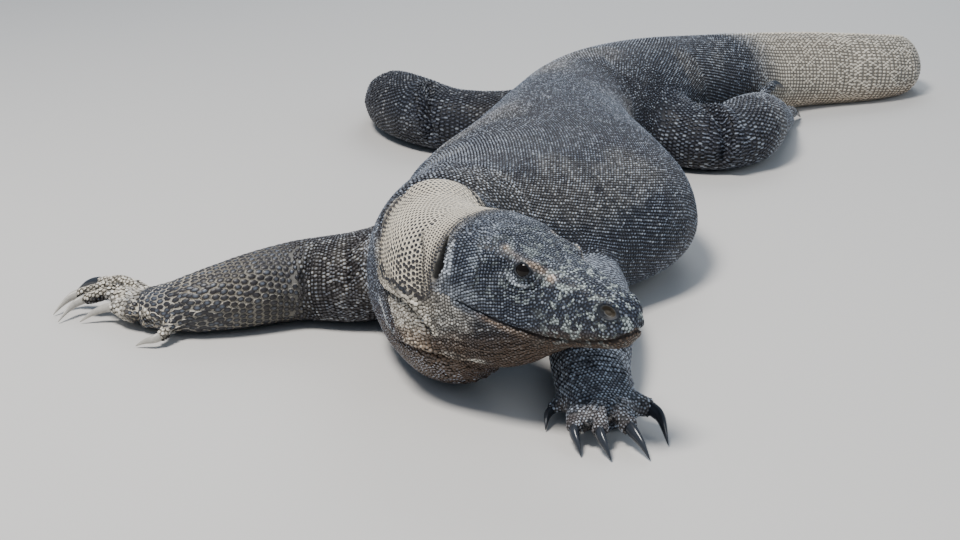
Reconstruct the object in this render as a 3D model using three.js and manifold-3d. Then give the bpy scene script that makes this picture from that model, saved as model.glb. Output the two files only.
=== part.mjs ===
// Komodo dragon, Varanus komodoensis: a full-grown animal lying at rest on a flat floor.
// Millimetres, +Z up, floor at Z = 0. The head end is towards -Y. All places below are measured
// from the point of the floor under the middle of the shoulders; the finished group is then
// moved so that its own origin is the middle of its footprint.
import * as THREE from 'three';
import { mergeVertices } from 'three/addons/utils/BufferGeometryUtils.js';
import Module from 'manifold-3d';

const wasm = await Module();
wasm.setup();

// Driving dimensions
const PARTING = 0.3; // width of every thin cut between neighbouring pieces
const FLOOR_DEPTH = 40; // the ground that trims the flats off the belly, tail and feet
const FLOOR_SIDE = 6000;

const HEAD_AT = [-1, -293, 126]; // between the ears, level with the corners of the mouth
const HEAD_TURN = -43; // degrees from +X towards -Y, the way the snout points
const HEAD_DROP = 6.5; // degrees that the snout hangs below level
const MOUTH_CORNER = 64; // forward of the ears
const MOUTH_LEVEL = -6; // height of the lip line in the head's frame
const MOUTH_RISE = 1.5; // degrees that the lip line climbs towards the snout
const JAW_INSIDE = [110, 0, -20]; // a place inside the lower jaw

const EYE_RADIUS = 9;
const EYE_PLACE = [80, 30.5, 34]; // forward, sideways and up in the head's frame
const BROW_PLACE = [76, 28, 41.5];
const BROW_SIZE = [22, 6.5, 9]; // half length, half height and half width of a brow ridge

const TOE_ROOT = 1.05; // girth of a toe at its root and at its end, beside its knuckle's
const TOE_END = 0.8;

const CLAW_FOOT = 0.78; // root radius of a claw as a share of its toe's end
const CLAW_POINT = 0.55; // radius of the blunted tip of a claw
const CLAW_SEAT = 2; // depth of a claw's root in the end of its toe
const CLAW_SPREAD = [1, 0.78, 0.44]; // girth from the root on, beside the root's
const CLAW_RUN = 0.34; // share of a claw's length over which it keeps the toe's direction
const CLAW_BEND = 0.6; // where its back is highest, as a share of its length
const CLAW_ARCH = 0.16; // and how far it rises there

const JAW_WIDTH = 140; // reach of the cuts that part the lower jaw from the head
const JAW_LENGTH = 160;
const JAW_DEPTH = 90;
const CUT_HEIGHT = 420; // reach of the cuts across the trunk and tail
const MARKER_RADIUS = 1.5; // size of the marker that finds a piece by a place inside it

// Fineness of the curved faces
const SPINE_SIDES = 16;
const LIMB_SIDES = 8;
const TOE_SIDES = 6;
const CLAW_SIDES = 5;
const SPINE_STEPS = 2;
const LIMB_STEPS = 2;
const TOE_STEPS = 1;
const CLAW_STEPS = 1;
const EYE_SEGMENTS = 4;
const BROW_SEGMENTS = 4;

const UP = new THREE.Vector3(0, 0, 1);
const radians = THREE.MathUtils.degToRad;

// A ring is one cross-section of a body: the middle of the section on the floor plan, its
// lowest and highest points, its half width, the share of its height at which it is widest,
// and how square its upper and lower halves are (2 is an ellipse).
const ring = (x, y, low, high, half, widest = 0.5, crown = 2.2, base = 2.2) => {
  const middle = low + (high - low) * widest;
  return {
    at: [x, y, middle],
    girth: [half, high - middle, middle - low],
    square: [crown, base],
  };
};

const alongCurve = (rings, key) => {
  const points = rings.map((r) => new THREE.Vector3(...r[key]));
  return new THREE.CatmullRomCurve3(points, false, key === 'at' ? 'centripetal' : 'catmullrom');
};

// The place on the middle line of a row of rings, where station 2.5 is halfway from ring 2 to 3.
const placeAt = (rings, station) => alongCurve(rings, 'at').getPoint(station / (rings.length - 1));

const superellipse = (angle, half, up, down, crown, base) => {
  const c = Math.cos(angle);
  const s = Math.sin(angle);
  const power = 2 / (s > 0 ? crown : base);
  const sideways = Math.sign(c) * half * Math.abs(c) ** power;
  const upwards = Math.sign(s) * (s > 0 ? up : down) * Math.abs(s) ** power;
  return [sideways, upwards];
};

// The frame of a curve at one place: the way it runs, its side and its own upward direction.
const frameAt = (path, t) => {
  const along = path.getTangent(t).normalize();
  const side = new THREE.Vector3().crossVectors(along, UP).normalize();
  const up = new THREE.Vector3().crossVectors(side, along).normalize();
  return { at: path.getPoint(t), along, side, up };
};

// A closed skin stretched over rings, `steps` sections for each gap between two rings.
const loftGeometry = (rings, sides, steps) => {
  const path = alongCurve(rings, 'at');
  const girth = alongCurve(rings, 'girth');
  const square = alongCurve(rings, 'square');
  const sections = (rings.length - 1) * steps;
  const positions = [];
  for (let i = 0; i <= sections; i += 1) {
    const t = i / sections;
    const { at, side, up } = frameAt(path, t);
    const size = girth.getPoint(t);
    const shape = square.getPoint(t);
    for (let j = 0; j < sides; j += 1) {
      const angle = (2 * Math.PI * j) / sides;
      const [a, b] = superellipse(angle, size.x, size.y, size.z, shape.x, shape.y);
      positions.push(...at.clone().addScaledVector(side, a).addScaledVector(up, b));
    }
  }
  const first = (sections + 1) * sides;
  positions.push(...path.getPoint(0), ...path.getPoint(1));
  const index = [];
  for (let j = 0; j < sides; j += 1) {
    const k = (j + 1) % sides;
    for (let i = 0; i < sections; i += 1) {
      const here = i * sides;
      const next = here + sides;
      index.push(here + j, next + j, next + k, here + j, next + k, here + k);
    }
    const last = sections * sides;
    index.push(first, j, k);
    index.push(first + 1, last + k, last + j);
  }
  const geometry = new THREE.BufferGeometry();
  geometry.setAttribute('position', new THREE.Float32BufferAttribute(positions, 3));
  geometry.setIndex(index);
  return geometry;
};

const solidOf = (geometry) => {
  const bare = geometry.clone();
  bare.deleteAttribute('normal');
  bare.deleteAttribute('uv');
  const merged = mergeVertices(bare, 1e-4);
  const mesh = new wasm.Mesh({
    numProp: 3,
    vertProperties: new Float32Array(merged.attributes.position.array),
    triVerts: new Uint32Array(merged.index.array),
  });
  mesh.merge();
  return new wasm.Manifold(mesh);
};

const loft = (rings, sides, steps) => solidOf(loftGeometry(rings, sides, steps));

const boxAt = (width, length, height, placement) => {
  const geometry = new THREE.BoxGeometry(width, length, height);
  geometry.applyMatrix4(placement);
  return solidOf(geometry);
};

// A thin flat cut across a body, square to the way it runs.
const partingAcross = (rings, station, width, height) => {
  const { at, along, side, up } = frameAt(alongCurve(rings, 'at'), station / (rings.length - 1));
  const placement = new THREE.Matrix4().makeBasis(side, along, up).setPosition(at);
  return boxAt(width, PARTING, height, placement);
};

// Head frame: X forward from the ears, Y to the animal's left, Z up from the mouth corners.
const headPose = new THREE.Matrix4()
  .makeRotationZ(radians(HEAD_TURN))
  .multiply(new THREE.Matrix4().makeRotationY(radians(HEAD_DROP)))
  .setPosition(...HEAD_AT);

const headRing = (forward, low, high, half, widest, crown, base) => {
  const section = ring(0, 0, low, high, half, widest, crown, base);
  const at = new THREE.Vector3(forward, 0, section.at[2]).applyMatrix4(headPose);
  return { ...section, at: at.toArray() };
};

// The trunk with the head and tail, from the snout back.
const bodyRings = [
  headRing(180.5, 1, 17, 8, 0.5, 2.2, 2.2),
  headRing(176, -9, 25, 16, 0.52, 2.3, 2.2),
  headRing(166, -16, 31, 22, 0.5, 2.5, 2.2),
  headRing(148, -22, 36, 26, 0.48, 2.7, 2.3),
  headRing(110, -34, 43, 34, 0.46, 2.9, 2.3),
  headRing(82, -52, 50, 44, 0.46, 3, 2.2),
  headRing(50, -77, 56, 56, 0.5, 3, 2.2),
  headRing(16, -93, 59, 62, 0.55, 2.7, 2.2),
  ring(-20, -270, 9, 179, 64, 0.58, 2.4, 2.1),
  ring(-37, -223, -3, 179, 62, 0.54, 2.1, 2.1),
  ring(-43, -166, -4, 178, 71, 0.5, 2.1, 2.2),
  ring(-28, -104, -4, 176, 86, 0.44, 2.1, 2.4),
  ring(6, -40, -3, 174, 118, 0.42, 2, 2.5),
  ring(40, 25, -3, 174, 150, 0.4, 1.9, 2.5),
  ring(70, 95, -4, 176, 176, 0.36, 1.9, 2.5),
  ring(87, 170, -5, 178, 174, 0.34, 1.9, 2.6),
  ring(94, 250, -5, 178, 150, 0.36, 1.9, 2.5),
  ring(99, 335, -5, 176, 126, 0.38, 1.9, 2.5),
  ring(106, 420, -5, 172, 107, 0.4, 2, 2.4),
  ring(118, 500, -4, 168, 97, 0.42, 2, 2.4),
  ring(138, 575, -3, 166, 98, 0.42, 2.1, 2.3),
  ring(176, 645, -2, 169, 107, 0.43, 2.1, 2.2),
  ring(224, 706, -2, 170, 101, 0.44, 2.1, 2.2),
  ring(274, 770, -2, 166, 90, 0.44, 2, 2.2),
  ring(328, 846, -2, 156, 80, 0.44, 1.9, 2.2),
  ring(392, 930, -2, 145, 70, 0.44, 1.8, 2.2),
  ring(470, 1010, -2, 134, 62, 0.44, 1.8, 2.2),
  ring(564, 1066, -2, 126, 56, 0.44, 1.8, 2.2),
  ring(664, 1100, -2, 118, 50, 0.44, 1.8, 2.2),
  ring(735, 1150, -2, 107, 46, 0.44, 1.8, 2.2),
  ring(757, 1226, -2, 95, 41, 0.44, 1.8, 2.2),
  ring(718, 1298, -2, 84, 37, 0.44, 1.8, 2.2),
  ring(632, 1342, -1.5, 70, 31, 0.45, 1.8, 2.2),
  ring(530, 1370, -1.5, 54, 24, 0.45, 1.8, 2.2),
  ring(425, 1386, -1, 38, 17, 0.46, 1.8, 2.2),
  ring(325, 1383, -0.8, 22, 10, 0.47, 1.9, 2.2),
  ring(240, 1360, 0, 8, 3.5, 0.5, 2, 2),
];

// The pieces of the trunk, head and tail, from the snout back: the station of bodyRings where
// each ends, and how wide the cut there has to be.
const bodyPieces = {
  head: { end: 7.6, width: 160 },
  neck: { end: 10.5, width: 190 },
  trunk_front: { end: 14.6, width: 420 },
  trunk_middle: { end: 17.5, width: 330 },
  trunk_rear: { end: 19.6, width: 240 },
  pelvis: { end: 22.7, width: 230 },
  tail_1: { end: 26.2, width: 160 },
  tail_2: { end: 28.7, width: 140 },
  tail_3: { end: 31.6, width: 110 },
  tail_4: { end: bodyRings.length - 1 },
};

// A toe by the places of its root, its knuckle, its end and the tip of its claw.
const toe = (root, knuckle, end, tip, radius) => ({ root, knuckle, end, tip, radius });

// Each leg runs from inside the trunk to the palm or sole. `cuts` are the stations of its rings
// where it leaves the trunk, bends at the elbow or knee, and ends at the wrist or ankle;
// `reach` is the size of each of those cuts. The toes are in order, the innermost first.
const legs = {
  foreleg_right: {
    rings: [
      ring(-70, -50, 4, 108, 54),
      ring(-132, -76, -2, 99, 50),
      ring(-190, -66, -2, 88, 44),
      ring(-248, -92, -2, 77, 40),
      ring(-290, -104, -1.5, 64, 37),
      ring(-322, -96, -1.5, 50, 36),
      ring(-350, -76, 0, 37, 38),
      ring(-368, -62, 2, 30, 32),
    ],
    cuts: [1.1, 2.4, 4.6],
    reach: [190, 130, 120],
    toes: [
      toe([-318, -116, 17], [-316, -138, 16], [-325, -157, 10], [-349, -157, 2], 8),
      toe([-350, -94, 20], [-370, -90, 23], [-389, -81, 17], [-423, -84, 2], 8.5),
      toe([-358, -80, 22], [-394, -66, 28], [-424, -55, 17], [-446, -84, 2], 8.5),
      toe([-362, -64, 22], [-402, -44, 28], [-436, -34, 16], [-457, -60, 2], 8.5),
      toe([-356, -48, 22], [-390, -22, 27], [-419, -2, 20], [-448, 14, 6], 8.5),
    ],
  },
  foreleg_left: {
    rings: [
      ring(84, -20, 4, 88, 50),
      ring(108, -95, -2, 86, 46),
      ring(110, -172, -2, 88, 44),
      ring(105, -248, -2, 82, 42),
      ring(102, -308, -1.5, 64, 37),
      ring(106, -346, -1.5, 46, 36),
      ring(110, -378, 0, 32, 30),
    ],
    cuts: [1.65, 2.5, 4.3],
    reach: [130, 120, 110],
    toes: [
      toe([88, -342, 18], [72, -344, 17], [62, -352, 11], [58, -372, 2], 8),
      toe([94, -360, 22], [84, -386, 22], [81, -404, 15], [86, -427, 2], 10),
      toe([104, -362, 24], [104, -392, 24], [103, -413, 16], [111, -437, 2], 10.5),
      toe([114, -362, 24], [123, -388, 24], [130, -405, 17], [144, -435, 2], 11),
      toe([112, -346, 22], [134, -356, 23], [153, -367, 19], [163, -405, 2], 11.5),
    ],
  },
  hindleg_right: {
    rings: [
      ring(130, 680, 10, 120, 58),
      ring(40, 698, -1, 97, 54),
      ring(-44, 712, -2, 98, 54),
      ring(-92, 758, -2, 106, 54),
      ring(-136, 844, -2, 102, 48),
      ring(-152, 930, -1.5, 70, 36),
      ring(-140, 1000, -1.5, 48, 34),
      ring(-128, 1040, 0, 34, 28),
    ],
    cuts: [0.9, 2.8, 5.2],
    reach: [160, 130, 110],
    toes: [
      toe([-130, 1010, 22], [-100, 1040, 22], [-88, 1064, 12], [-84, 1092, 2], 9),
      toe([-130, 1016, 24], [-104, 1066, 24], [-94, 1102, 12], [-88, 1132, 2], 9.5),
      toe([-134, 1018, 26], [-116, 1080, 26], [-110, 1128, 12], [-104, 1160, 2], 10),
      toe([-140, 1016, 26], [-134, 1086, 26], [-134, 1142, 12], [-130, 1174, 2], 10),
      toe([-150, 950, 40], [-166, 1010, 40], [-166, 1064, 30], [-162, 1094, 18], 9),
    ],
  },
  hindleg_left: {
    rings: [
      ring(250, 640, 10, 122, 58),
      ring(300, 604, -1, 100, 54),
      ring(350, 592, -2, 92, 54),
      ring(394, 636, -2, 103, 54),
      ring(426, 712, -2, 92, 46),
      ring(450, 775, -1.5, 70, 37),
      ring(470, 830, -1.5, 48, 32),
      ring(482, 866, 0, 34, 28),
    ],
    cuts: [0.9, 2.8, 5.2],
    reach: [160, 130, 110],
    toes: [
      toe([462, 836, 20], [446, 862, 20], [443, 884, 12], [452, 908, 2], 9),
      toe([468, 842, 22], [460, 888, 22], [460, 922, 12], [468, 950, 2], 10),
      toe([474, 846, 24], [484, 894, 24], [492, 934, 13], [504, 964, 2], 10.5),
      toe([484, 842, 24], [502, 880, 26], [518, 918, 16], [536, 950, 2], 11),
      toe([438, 788, 52], [450, 834, 68], [470, 866, 72], [495, 893, 62], 11),
    ],
  },
};
const LEG_PIECES = ['upper', 'lower', 'foot'];

const roundRing = ([x, y, z], radius) => ring(x, y, z - radius, z + radius, radius);

// A toe tapers from its root over the knuckle to a flat end, where the claw is seated.
const toeRings = ({ root, knuckle, end, radius }) => [
  roundRing(root, radius * TOE_ROOT),
  roundRing(knuckle, radius),
  roundRing(end, radius * TOE_END),
];

// A claw leaves the end along the toe, arches over and comes down to its tip. Grown by the
// parting, the same shape is the socket that it sits in.
const clawRings = (digit, growth) => {
  const { at, along } = frameAt(alongCurve(toeRings(digit), 'at'), 1);
  const foot = at.addScaledVector(along, -CLAW_SEAT - growth);
  const tip = new THREE.Vector3(...digit.tip);
  const length = foot.distanceTo(tip);
  const shoulder = foot.clone().addScaledVector(along, length * CLAW_RUN);
  const back = foot.clone().lerp(tip, CLAW_BEND).addScaledVector(UP, length * CLAW_ARCH);
  const spine = new THREE.CubicBezierCurve3(foot, shoulder, back, tip);
  const girth = digit.radius * TOE_END * CLAW_FOOT;
  const rings = CLAW_SPREAD.map((share, i) => {
    const place = spine.getPoint(i / CLAW_SPREAD.length);
    return roundRing(place.toArray(), girth * share + growth);
  });
  return [...rings, roundRing(digit.tip, CLAW_POINT + growth)];
};

const floor = boxAt(
  FLOOR_SIDE,
  FLOOR_SIDE,
  FLOOR_DEPTH,
  new THREE.Matrix4().makeTranslation(0, 0, -FLOOR_DEPTH / 2),
);

// A ball or egg in the head, its size given forward, upward and sideways.
const headBall = (size, place, segments) => {
  const geometry = new THREE.SphereGeometry(1, segments * 2, segments);
  geometry.scale(...size);
  geometry.rotateX(Math.PI / 2);
  geometry.translate(...place);
  geometry.applyMatrix4(headPose);
  return solidOf(geometry);
};

const sides = { left: 1, right: -1 };
const onSide = ([x, y, z], hand) => [x, y * hand, z];
const eyeBall = (hand, growth) => {
  const radius = EYE_RADIUS + growth;
  return headBall([radius, radius, radius], onSide(EYE_PLACE, hand), EYE_SEGMENTS);
};

// The flesh in one piece, before it is parted.
let flesh = loft(bodyRings, SPINE_SIDES, SPINE_STEPS);
for (const leg of Object.values(legs)) {
  flesh = flesh.add(loft(leg.rings, LIMB_SIDES, LIMB_STEPS));
  for (const digit of leg.toes) flesh = flesh.add(loft(toeRings(digit), TOE_SIDES, TOE_STEPS));
}
for (const hand of Object.values(sides)) {
  flesh = flesh.add(headBall(BROW_SIZE, onSide(BROW_PLACE, hand), BROW_SEGMENTS));
  flesh = flesh.subtract(eyeBall(hand, PARTING));
}
for (const digit of Object.values(legs).flatMap((leg) => leg.toes)) {
  flesh = flesh.subtract(loft(clawRings(digit, PARTING), CLAW_SIDES, CLAW_STEPS));
}
flesh = flesh.subtract(floor);

// The cuts across the trunk and tail, then across each leg, then along the lips and down behind
// the lower jaw. Each piece is known by a place inside it, halfway between its two cuts.
const inside = { lower_jaw: new THREE.Vector3(...JAW_INSIDE).applyMatrix4(headPose) };
let begin = 0;
for (const [name, { end, width }] of Object.entries(bodyPieces)) {
  if (width) flesh = flesh.subtract(partingAcross(bodyRings, end, width, CUT_HEIGHT));
  inside[name] = placeAt(bodyRings, (begin + end) / 2);
  begin = end;
}
for (const [name, { rings, cuts, reach }] of Object.entries(legs)) {
  const stops = [...cuts, rings.length - 1];
  LEG_PIECES.forEach((piece, i) => {
    flesh = flesh.subtract(partingAcross(rings, cuts[i], reach[i], reach[i]));
    inside[`${name}_${piece}`] = placeAt(rings, (stops[i] + stops[i + 1]) / 2);
  });
}

const mouthPose = headPose
  .clone()
  .multiply(new THREE.Matrix4().makeTranslation(MOUTH_CORNER, 0, MOUTH_LEVEL))
  .multiply(new THREE.Matrix4().makeRotationY(-radians(MOUTH_RISE)));
const fromMouth = (x, z) => mouthPose.clone().multiply(new THREE.Matrix4().makeTranslation(x, 0, z));
const lipCut = fromMouth(JAW_LENGTH / 2, 0);
const jawCut = fromMouth(0, -JAW_DEPTH / 2);
flesh = flesh.subtract(boxAt(JAW_LENGTH + PARTING, JAW_WIDTH, PARTING, lipCut));
flesh = flesh.subtract(boxAt(PARTING, JAW_WIDTH, JAW_DEPTH + PARTING, jawCut));

const holds = (piece, place) => {
  const marker = new THREE.OctahedronGeometry(MARKER_RADIUS).translate(...place);
  return !piece.intersect(solidOf(marker)).isEmpty();
};

const skin = { color: 0x35373a, roughness: 0.75, metalness: 0 };
const horn = { color: 0x1b1c20, roughness: 0.35, metalness: 0 };
const eyeball = { color: 0x120d0a, roughness: 0.12, metalness: 0 };

const meshOf = (solid, name, look) => {
  const { vertProperties, triVerts, numProp } = solid.getMesh();
  const positions = [];
  for (let i = 0; i < vertProperties.length; i += numProp) {
    positions.push(vertProperties[i], vertProperties[i + 1], vertProperties[i + 2]);
  }
  const geometry = new THREE.BufferGeometry();
  geometry.setAttribute('position', new THREE.Float32BufferAttribute(positions, 3));
  geometry.setIndex([...triVerts]);
  const mesh = new THREE.Mesh(geometry, new THREE.MeshStandardMaterial(look));
  mesh.name = name;
  return mesh;
};

const dragon = new THREE.Group();
for (const piece of flesh.decompose()) {
  const [name] = Object.keys(inside).filter((key) => holds(piece, inside[key]));
  dragon.add(meshOf(piece, name, skin));
}
for (const [name, leg] of Object.entries(legs)) {
  leg.toes.forEach((digit, i) => {
    const claw = loft(clawRings(digit, 0), CLAW_SIDES, CLAW_STEPS);
    dragon.add(meshOf(claw, `${name}_claw_${i + 1}`, horn));
  });
}
for (const [side, hand] of Object.entries(sides)) {
  dragon.add(meshOf(eyeBall(hand, 0), `eye_${side}`, eyeball));
}

// The origin is the middle of the footprint, on the floor.
const footprint = new THREE.Box3().setFromObject(dragon).getCenter(new THREE.Vector3());
dragon.position.set(-footprint.x, -footprint.y, 0);

export default dragon;
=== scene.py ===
import itertools
import math

import bmesh
import bpy
import numpy as np
from mathutils import Matrix, Vector
from mathutils.bvhtree import BVHTree
from mathutils.kdtree import KDTree


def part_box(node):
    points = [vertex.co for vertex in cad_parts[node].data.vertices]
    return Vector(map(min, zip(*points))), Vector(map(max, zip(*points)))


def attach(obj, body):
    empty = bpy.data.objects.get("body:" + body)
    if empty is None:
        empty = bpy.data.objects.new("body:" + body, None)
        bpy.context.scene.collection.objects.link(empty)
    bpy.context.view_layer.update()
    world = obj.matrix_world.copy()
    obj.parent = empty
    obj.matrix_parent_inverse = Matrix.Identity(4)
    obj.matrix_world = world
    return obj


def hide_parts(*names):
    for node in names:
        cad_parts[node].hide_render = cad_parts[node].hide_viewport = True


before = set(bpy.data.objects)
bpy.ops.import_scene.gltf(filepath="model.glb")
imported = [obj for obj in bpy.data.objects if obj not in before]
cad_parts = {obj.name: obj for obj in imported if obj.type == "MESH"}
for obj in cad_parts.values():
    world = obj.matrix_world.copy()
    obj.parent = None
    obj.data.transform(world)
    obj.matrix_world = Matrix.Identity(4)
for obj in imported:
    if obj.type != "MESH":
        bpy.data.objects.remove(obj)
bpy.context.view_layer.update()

#
# Places. Listed places are in millimetres, from the floor under the middle of the
# shoulders, as in the solids; the head has a frame of its own, X forward from the ears,
# Y to the animal's left, Z up from the corners of the mouth.
#
MM = 0.001
UP = np.array([0.0, 0.0, 1.0])
HEAD_AT = np.array([-1.0, -293.0, 126.0])
HEAD_TURN = math.radians(-43)
HEAD_DROP = math.radians(6.5)
EYE_PLACE = np.array([80.0, 30.5, 34.0])
EYE_RADIUS = 9.0
HEAD_AXES = np.array(Matrix.Rotation(HEAD_TURN, 3, "Z") @ Matrix.Rotation(HEAD_DROP, 3, "Y"))


def box_middle(node):
    low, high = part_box(node)
    return np.array((low + high) / 2)


between_eyes = (box_middle("eye_left") + box_middle("eye_right")) / 2
ears = between_eyes - HEAD_AXES @ (EYE_PLACE * (1, 0, 1)) * MM
shoulders = ears - HEAD_AT * MM


def from_shoulders(places):
    """Places in millimetres from the floor under the shoulders, as metres in the frame."""
    return np.asarray(places, float) * MM + shoulders


def from_head(places):
    """Places in the head's own millimetres, as metres in the frame."""
    return ears + np.asarray(places, float) @ HEAD_AXES.T * MM


def to_head(points):
    """Points of the frame in the head's own millimetres."""
    return (points - ears) @ HEAD_AXES / MM


# The middle line of the body from the snout to the tip of the tail, and its mean half girth.
HEAD_LINE = [
    (179, 0, 9, 9), (160, 0, 9, 22), (130, 0, 6, 30), (95, 0, 0, 41), (55, 0, -9, 56), (16, 0, -15, 66),
]
BODY_LINE = [
    (-20, -270, 100, 74), (-37, -223, 92, 78), (-43, -166, 86, 82), (-28, -104, 76, 90), (6, -40, 70, 104),
    (40, 25, 66, 120), (70, 95, 62, 133), (87, 170, 60, 133), (94, 250, 62, 121), (99, 335, 64, 108),
    (106, 420, 66, 98), (118, 500, 68, 92), (138, 575, 68, 92), (176, 645, 70, 97), (224, 706, 72, 94),
    (274, 770, 70, 87), (328, 846, 67, 79), (392, 930, 62, 71), (470, 1010, 57, 65), (564, 1066, 54, 60),
    (664, 1100, 50, 55), (735, 1150, 45, 50), (757, 1226, 40, 45), (718, 1298, 36, 40), (632, 1342, 31, 33),
    (530, 1370, 24, 26), (425, 1386, 17, 18), (325, 1383, 10, 11), (240, 1360, 4, 4),
]
# The middle line of each leg, from inside the trunk to the palm or sole.
LEG_LINES = {
    "foreleg_right": [
        (-70, -50, 56, 53), (-132, -76, 49, 50), (-190, -66, 44, 44), (-248, -92, 38, 39),
        (-290, -104, 32, 34), (-322, -96, 25, 30), (-350, -76, 19, 27), (-364, -64, 16, 22),
    ],
    "foreleg_left": [
        (84, -20, 46, 26), (108, -95, 42, 34), (110, -172, 43, 43), (105, -248, 41, 42), (102, -308, 32, 35),
        (106, -346, 23, 30), (110, -376, 16, 23),
    ],
    "hindleg_right": [
        (130, 680, 64, 57), (40, 698, 48, 52), (-44, 712, 48, 51), (-92, 758, 52, 53), (-136, 844, 50, 49),
        (-152, 930, 35, 36), (-140, 1000, 24, 29), (-128, 1036, 17, 22),
    ],
    "hindleg_left": [
        (250, 640, 65, 57), (300, 604, 50, 53), (350, 592, 46, 50), (394, 636, 51, 53), (426, 712, 46, 46),
        (450, 775, 35, 36), (470, 830, 24, 28), (480, 860, 17, 22),
    ],
}
TOES = 5
CLAW_SIDES = 5


class Line:
    """A smooth middle line, sampled evenly by its length, with a frame at every sample."""

    STEP = 0.004
    CURVE_STEPS = 16
    BEND_SAMPLES = 5      # samples over which the bend is evened out

    def __init__(self, name, points, radii):
        rows = np.column_stack([points, np.asarray(radii, float) * MM])
        padded = np.vstack([2 * rows[0] - rows[1], rows, 2 * rows[-1] - rows[-2]])
        dense = []
        for a, b, c, d in zip(padded, padded[1:], padded[2:], padded[3:]):
            for t in np.linspace(0, 1, self.CURVE_STEPS, endpoint=False):
                curve = 2 * b + (c - a) * t
                curve = curve + (2 * a - 5 * b + 4 * c - d) * t**2 + (3 * (b - c) + d - a) * t**3
                dense.append(curve / 2)
        dense = np.array([*dense, rows[-1]])
        run = np.concatenate([[0], np.cumsum(np.linalg.norm(np.diff(dense[:, :3], axis=0), axis=1))])
        self.name = name
        self.length = run[-1]
        self.s = np.linspace(0, run[-1], int(run[-1] / self.STEP) + 2)
        even = np.column_stack([np.interp(self.s, run, dense[:, i]) for i in range(4)])
        self.at = even[:, :3]
        self.radius = even[:, 3]
        along = np.gradient(self.at, axis=0)
        self.along = unit(along)
        self.side = unit(np.cross(self.along, UP))
        self.up = np.cross(self.side, self.along)
        bend = np.gradient(self.along, self.s, axis=0)
        window = np.full(self.BEND_SAMPLES, 1 / self.BEND_SAMPLES)
        self.bend = np.column_stack([np.convolve(column, window, "same") for column in bend.T])

    def frame(self, s):
        """Place, direction, side and upward direction at a length s, and the half girth there."""
        rows = [np.column_stack([np.interp(s, self.s, field[:, i]) for i in range(3)])
                for field in (self.at, self.along, self.side, self.up)]
        return [*rows, np.interp(s, self.s, self.radius)]


def unit(vectors):
    return vectors / np.maximum(np.linalg.norm(vectors, axis=-1, keepdims=True), 1e-12)


def body_line():
    head = np.array(HEAD_LINE, float)
    rest = np.array(BODY_LINE, float)
    points = np.vstack([from_head(head[:, :3]), from_shoulders(rest[:, :3])])
    return Line("body", points, np.concatenate([head[:, 3], rest[:, 3]]))


def leg_line(name):
    rows = np.array(LEG_LINES[name], float)
    return Line(name, from_shoulders(rows[:, :3]), rows[:, 3])


def claw_rings(node):
    """The middles of a claw's rings from its root to its tip, and the half girth of its root."""
    corners = np.unique(np.round([v.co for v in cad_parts[node].data.vertices], 5), axis=0)
    spread = np.linalg.norm(corners[:, None] - corners[None], axis=2)
    crowd = np.sort(spread, axis=1)[:, CLAW_SIDES]
    tip = corners[crowd.argmin()]
    order = np.linalg.norm(corners - tip, axis=1).argsort()
    cap = CLAW_SIDES + 1
    groups = [order[:cap], order[cap:cap + CLAW_SIDES], order[cap + CLAW_SIDES:-cap], order[-cap:]]
    middles = np.array([corners[group].mean(0) for group in groups])[::-1]
    root = corners[groups[-1]]
    return middles, np.linalg.norm(root - middles[0], axis=1).max()


TOE_GIRTH = 9.0          # mean half girth, in millimetres
TOE_TAPER = (1.2, 1.0, 0.8)
TOE_RISE = 0.008


def toe_line(leg, number):
    """A toe runs from the leg's end over a raised knuckle to the root of its claw."""
    root = claw_rings(f"{leg}_claw_{number}")[0][0]
    start = from_shoulders(LEG_LINES[leg][-1][:3])
    knuckle = (start + root) / 2 + UP * TOE_RISE
    girths = [TOE_GIRTH * share for share in TOE_TAPER]
    return Line(f"{leg}_toe_{number}", np.array([start, knuckle, root]), girths)


body = body_line()
legs = {name: leg_line(name) for name in LEG_LINES}
toes = {f"{leg}_toe_{n}": toe_line(leg, n) for leg in LEG_LINES for n in range(1, TOES + 1)}
lines = [body, *legs.values(), *toes.values()]
line_lengths = np.array([line.length for line in lines])
BODY = 0
LEGS = range(1, 1 + len(legs))
FORE_RIGHT, FORE_LEFT, HIND_RIGHT, HIND_LEFT = range(4)
SPREAD_LIMITS = (0.75, 1.5)


class Anatomy:
    """Where points lie on the animal: the nearest line, how far along it, the angle round it, and
    how far a bend of the line spreads or crowds the rows there."""

    EVERY = 5             # samples of a line from one station to the next
    CHUNK = 20000         # points looked at together

    def __init__(self, points):
        picks = [(i, line, slice(None, None, self.EVERY)) for i, line in enumerate(lines)]
        at = np.vstack([line.at[pick] for _, line, pick in picks])
        radius = np.concatenate([line.radius[pick] for _, line, pick in picks])
        owner = np.concatenate([np.full(len(line.s[pick]), i) for i, line, pick in picks])
        station = np.concatenate([line.s[pick] for _, line, pick in picks])
        frames = [np.vstack([getattr(line, key)[pick] for _, line, pick in picks])
                  for key in ("along", "side", "up", "bend")]
        nearest = np.empty(len(points), int)
        for start in range(0, len(points), self.CHUNK):
            chunk = points[start:start + self.CHUNK]
            gap = (chunk**2).sum(1)[:, None] + (at**2).sum(1)[None] - 2 * chunk @ at.T
            nearest[start:start + self.CHUNK] = (gap / radius[None] ** 2).argmin(1)
        offset = points - at[nearest]
        along, side, up, bend = (field[nearest] for field in frames)
        self.line = owner[nearest]
        self.s = station[nearest] + (offset * along).sum(1)
        self.angle = np.arctan2((offset * side).sum(1), (offset * up).sum(1))
        self.radius = radius[nearest]
        self.along = along
        self.spread = np.clip(1 - (offset * bend).sum(1), *SPREAD_LIMITS)
        self.head = to_head(points)


def station_of(place):
    """How far along the body a listed place is, in metres."""
    return body.s[np.linalg.norm(body.at - from_shoulders(place), axis=1).argmin()]


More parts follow.
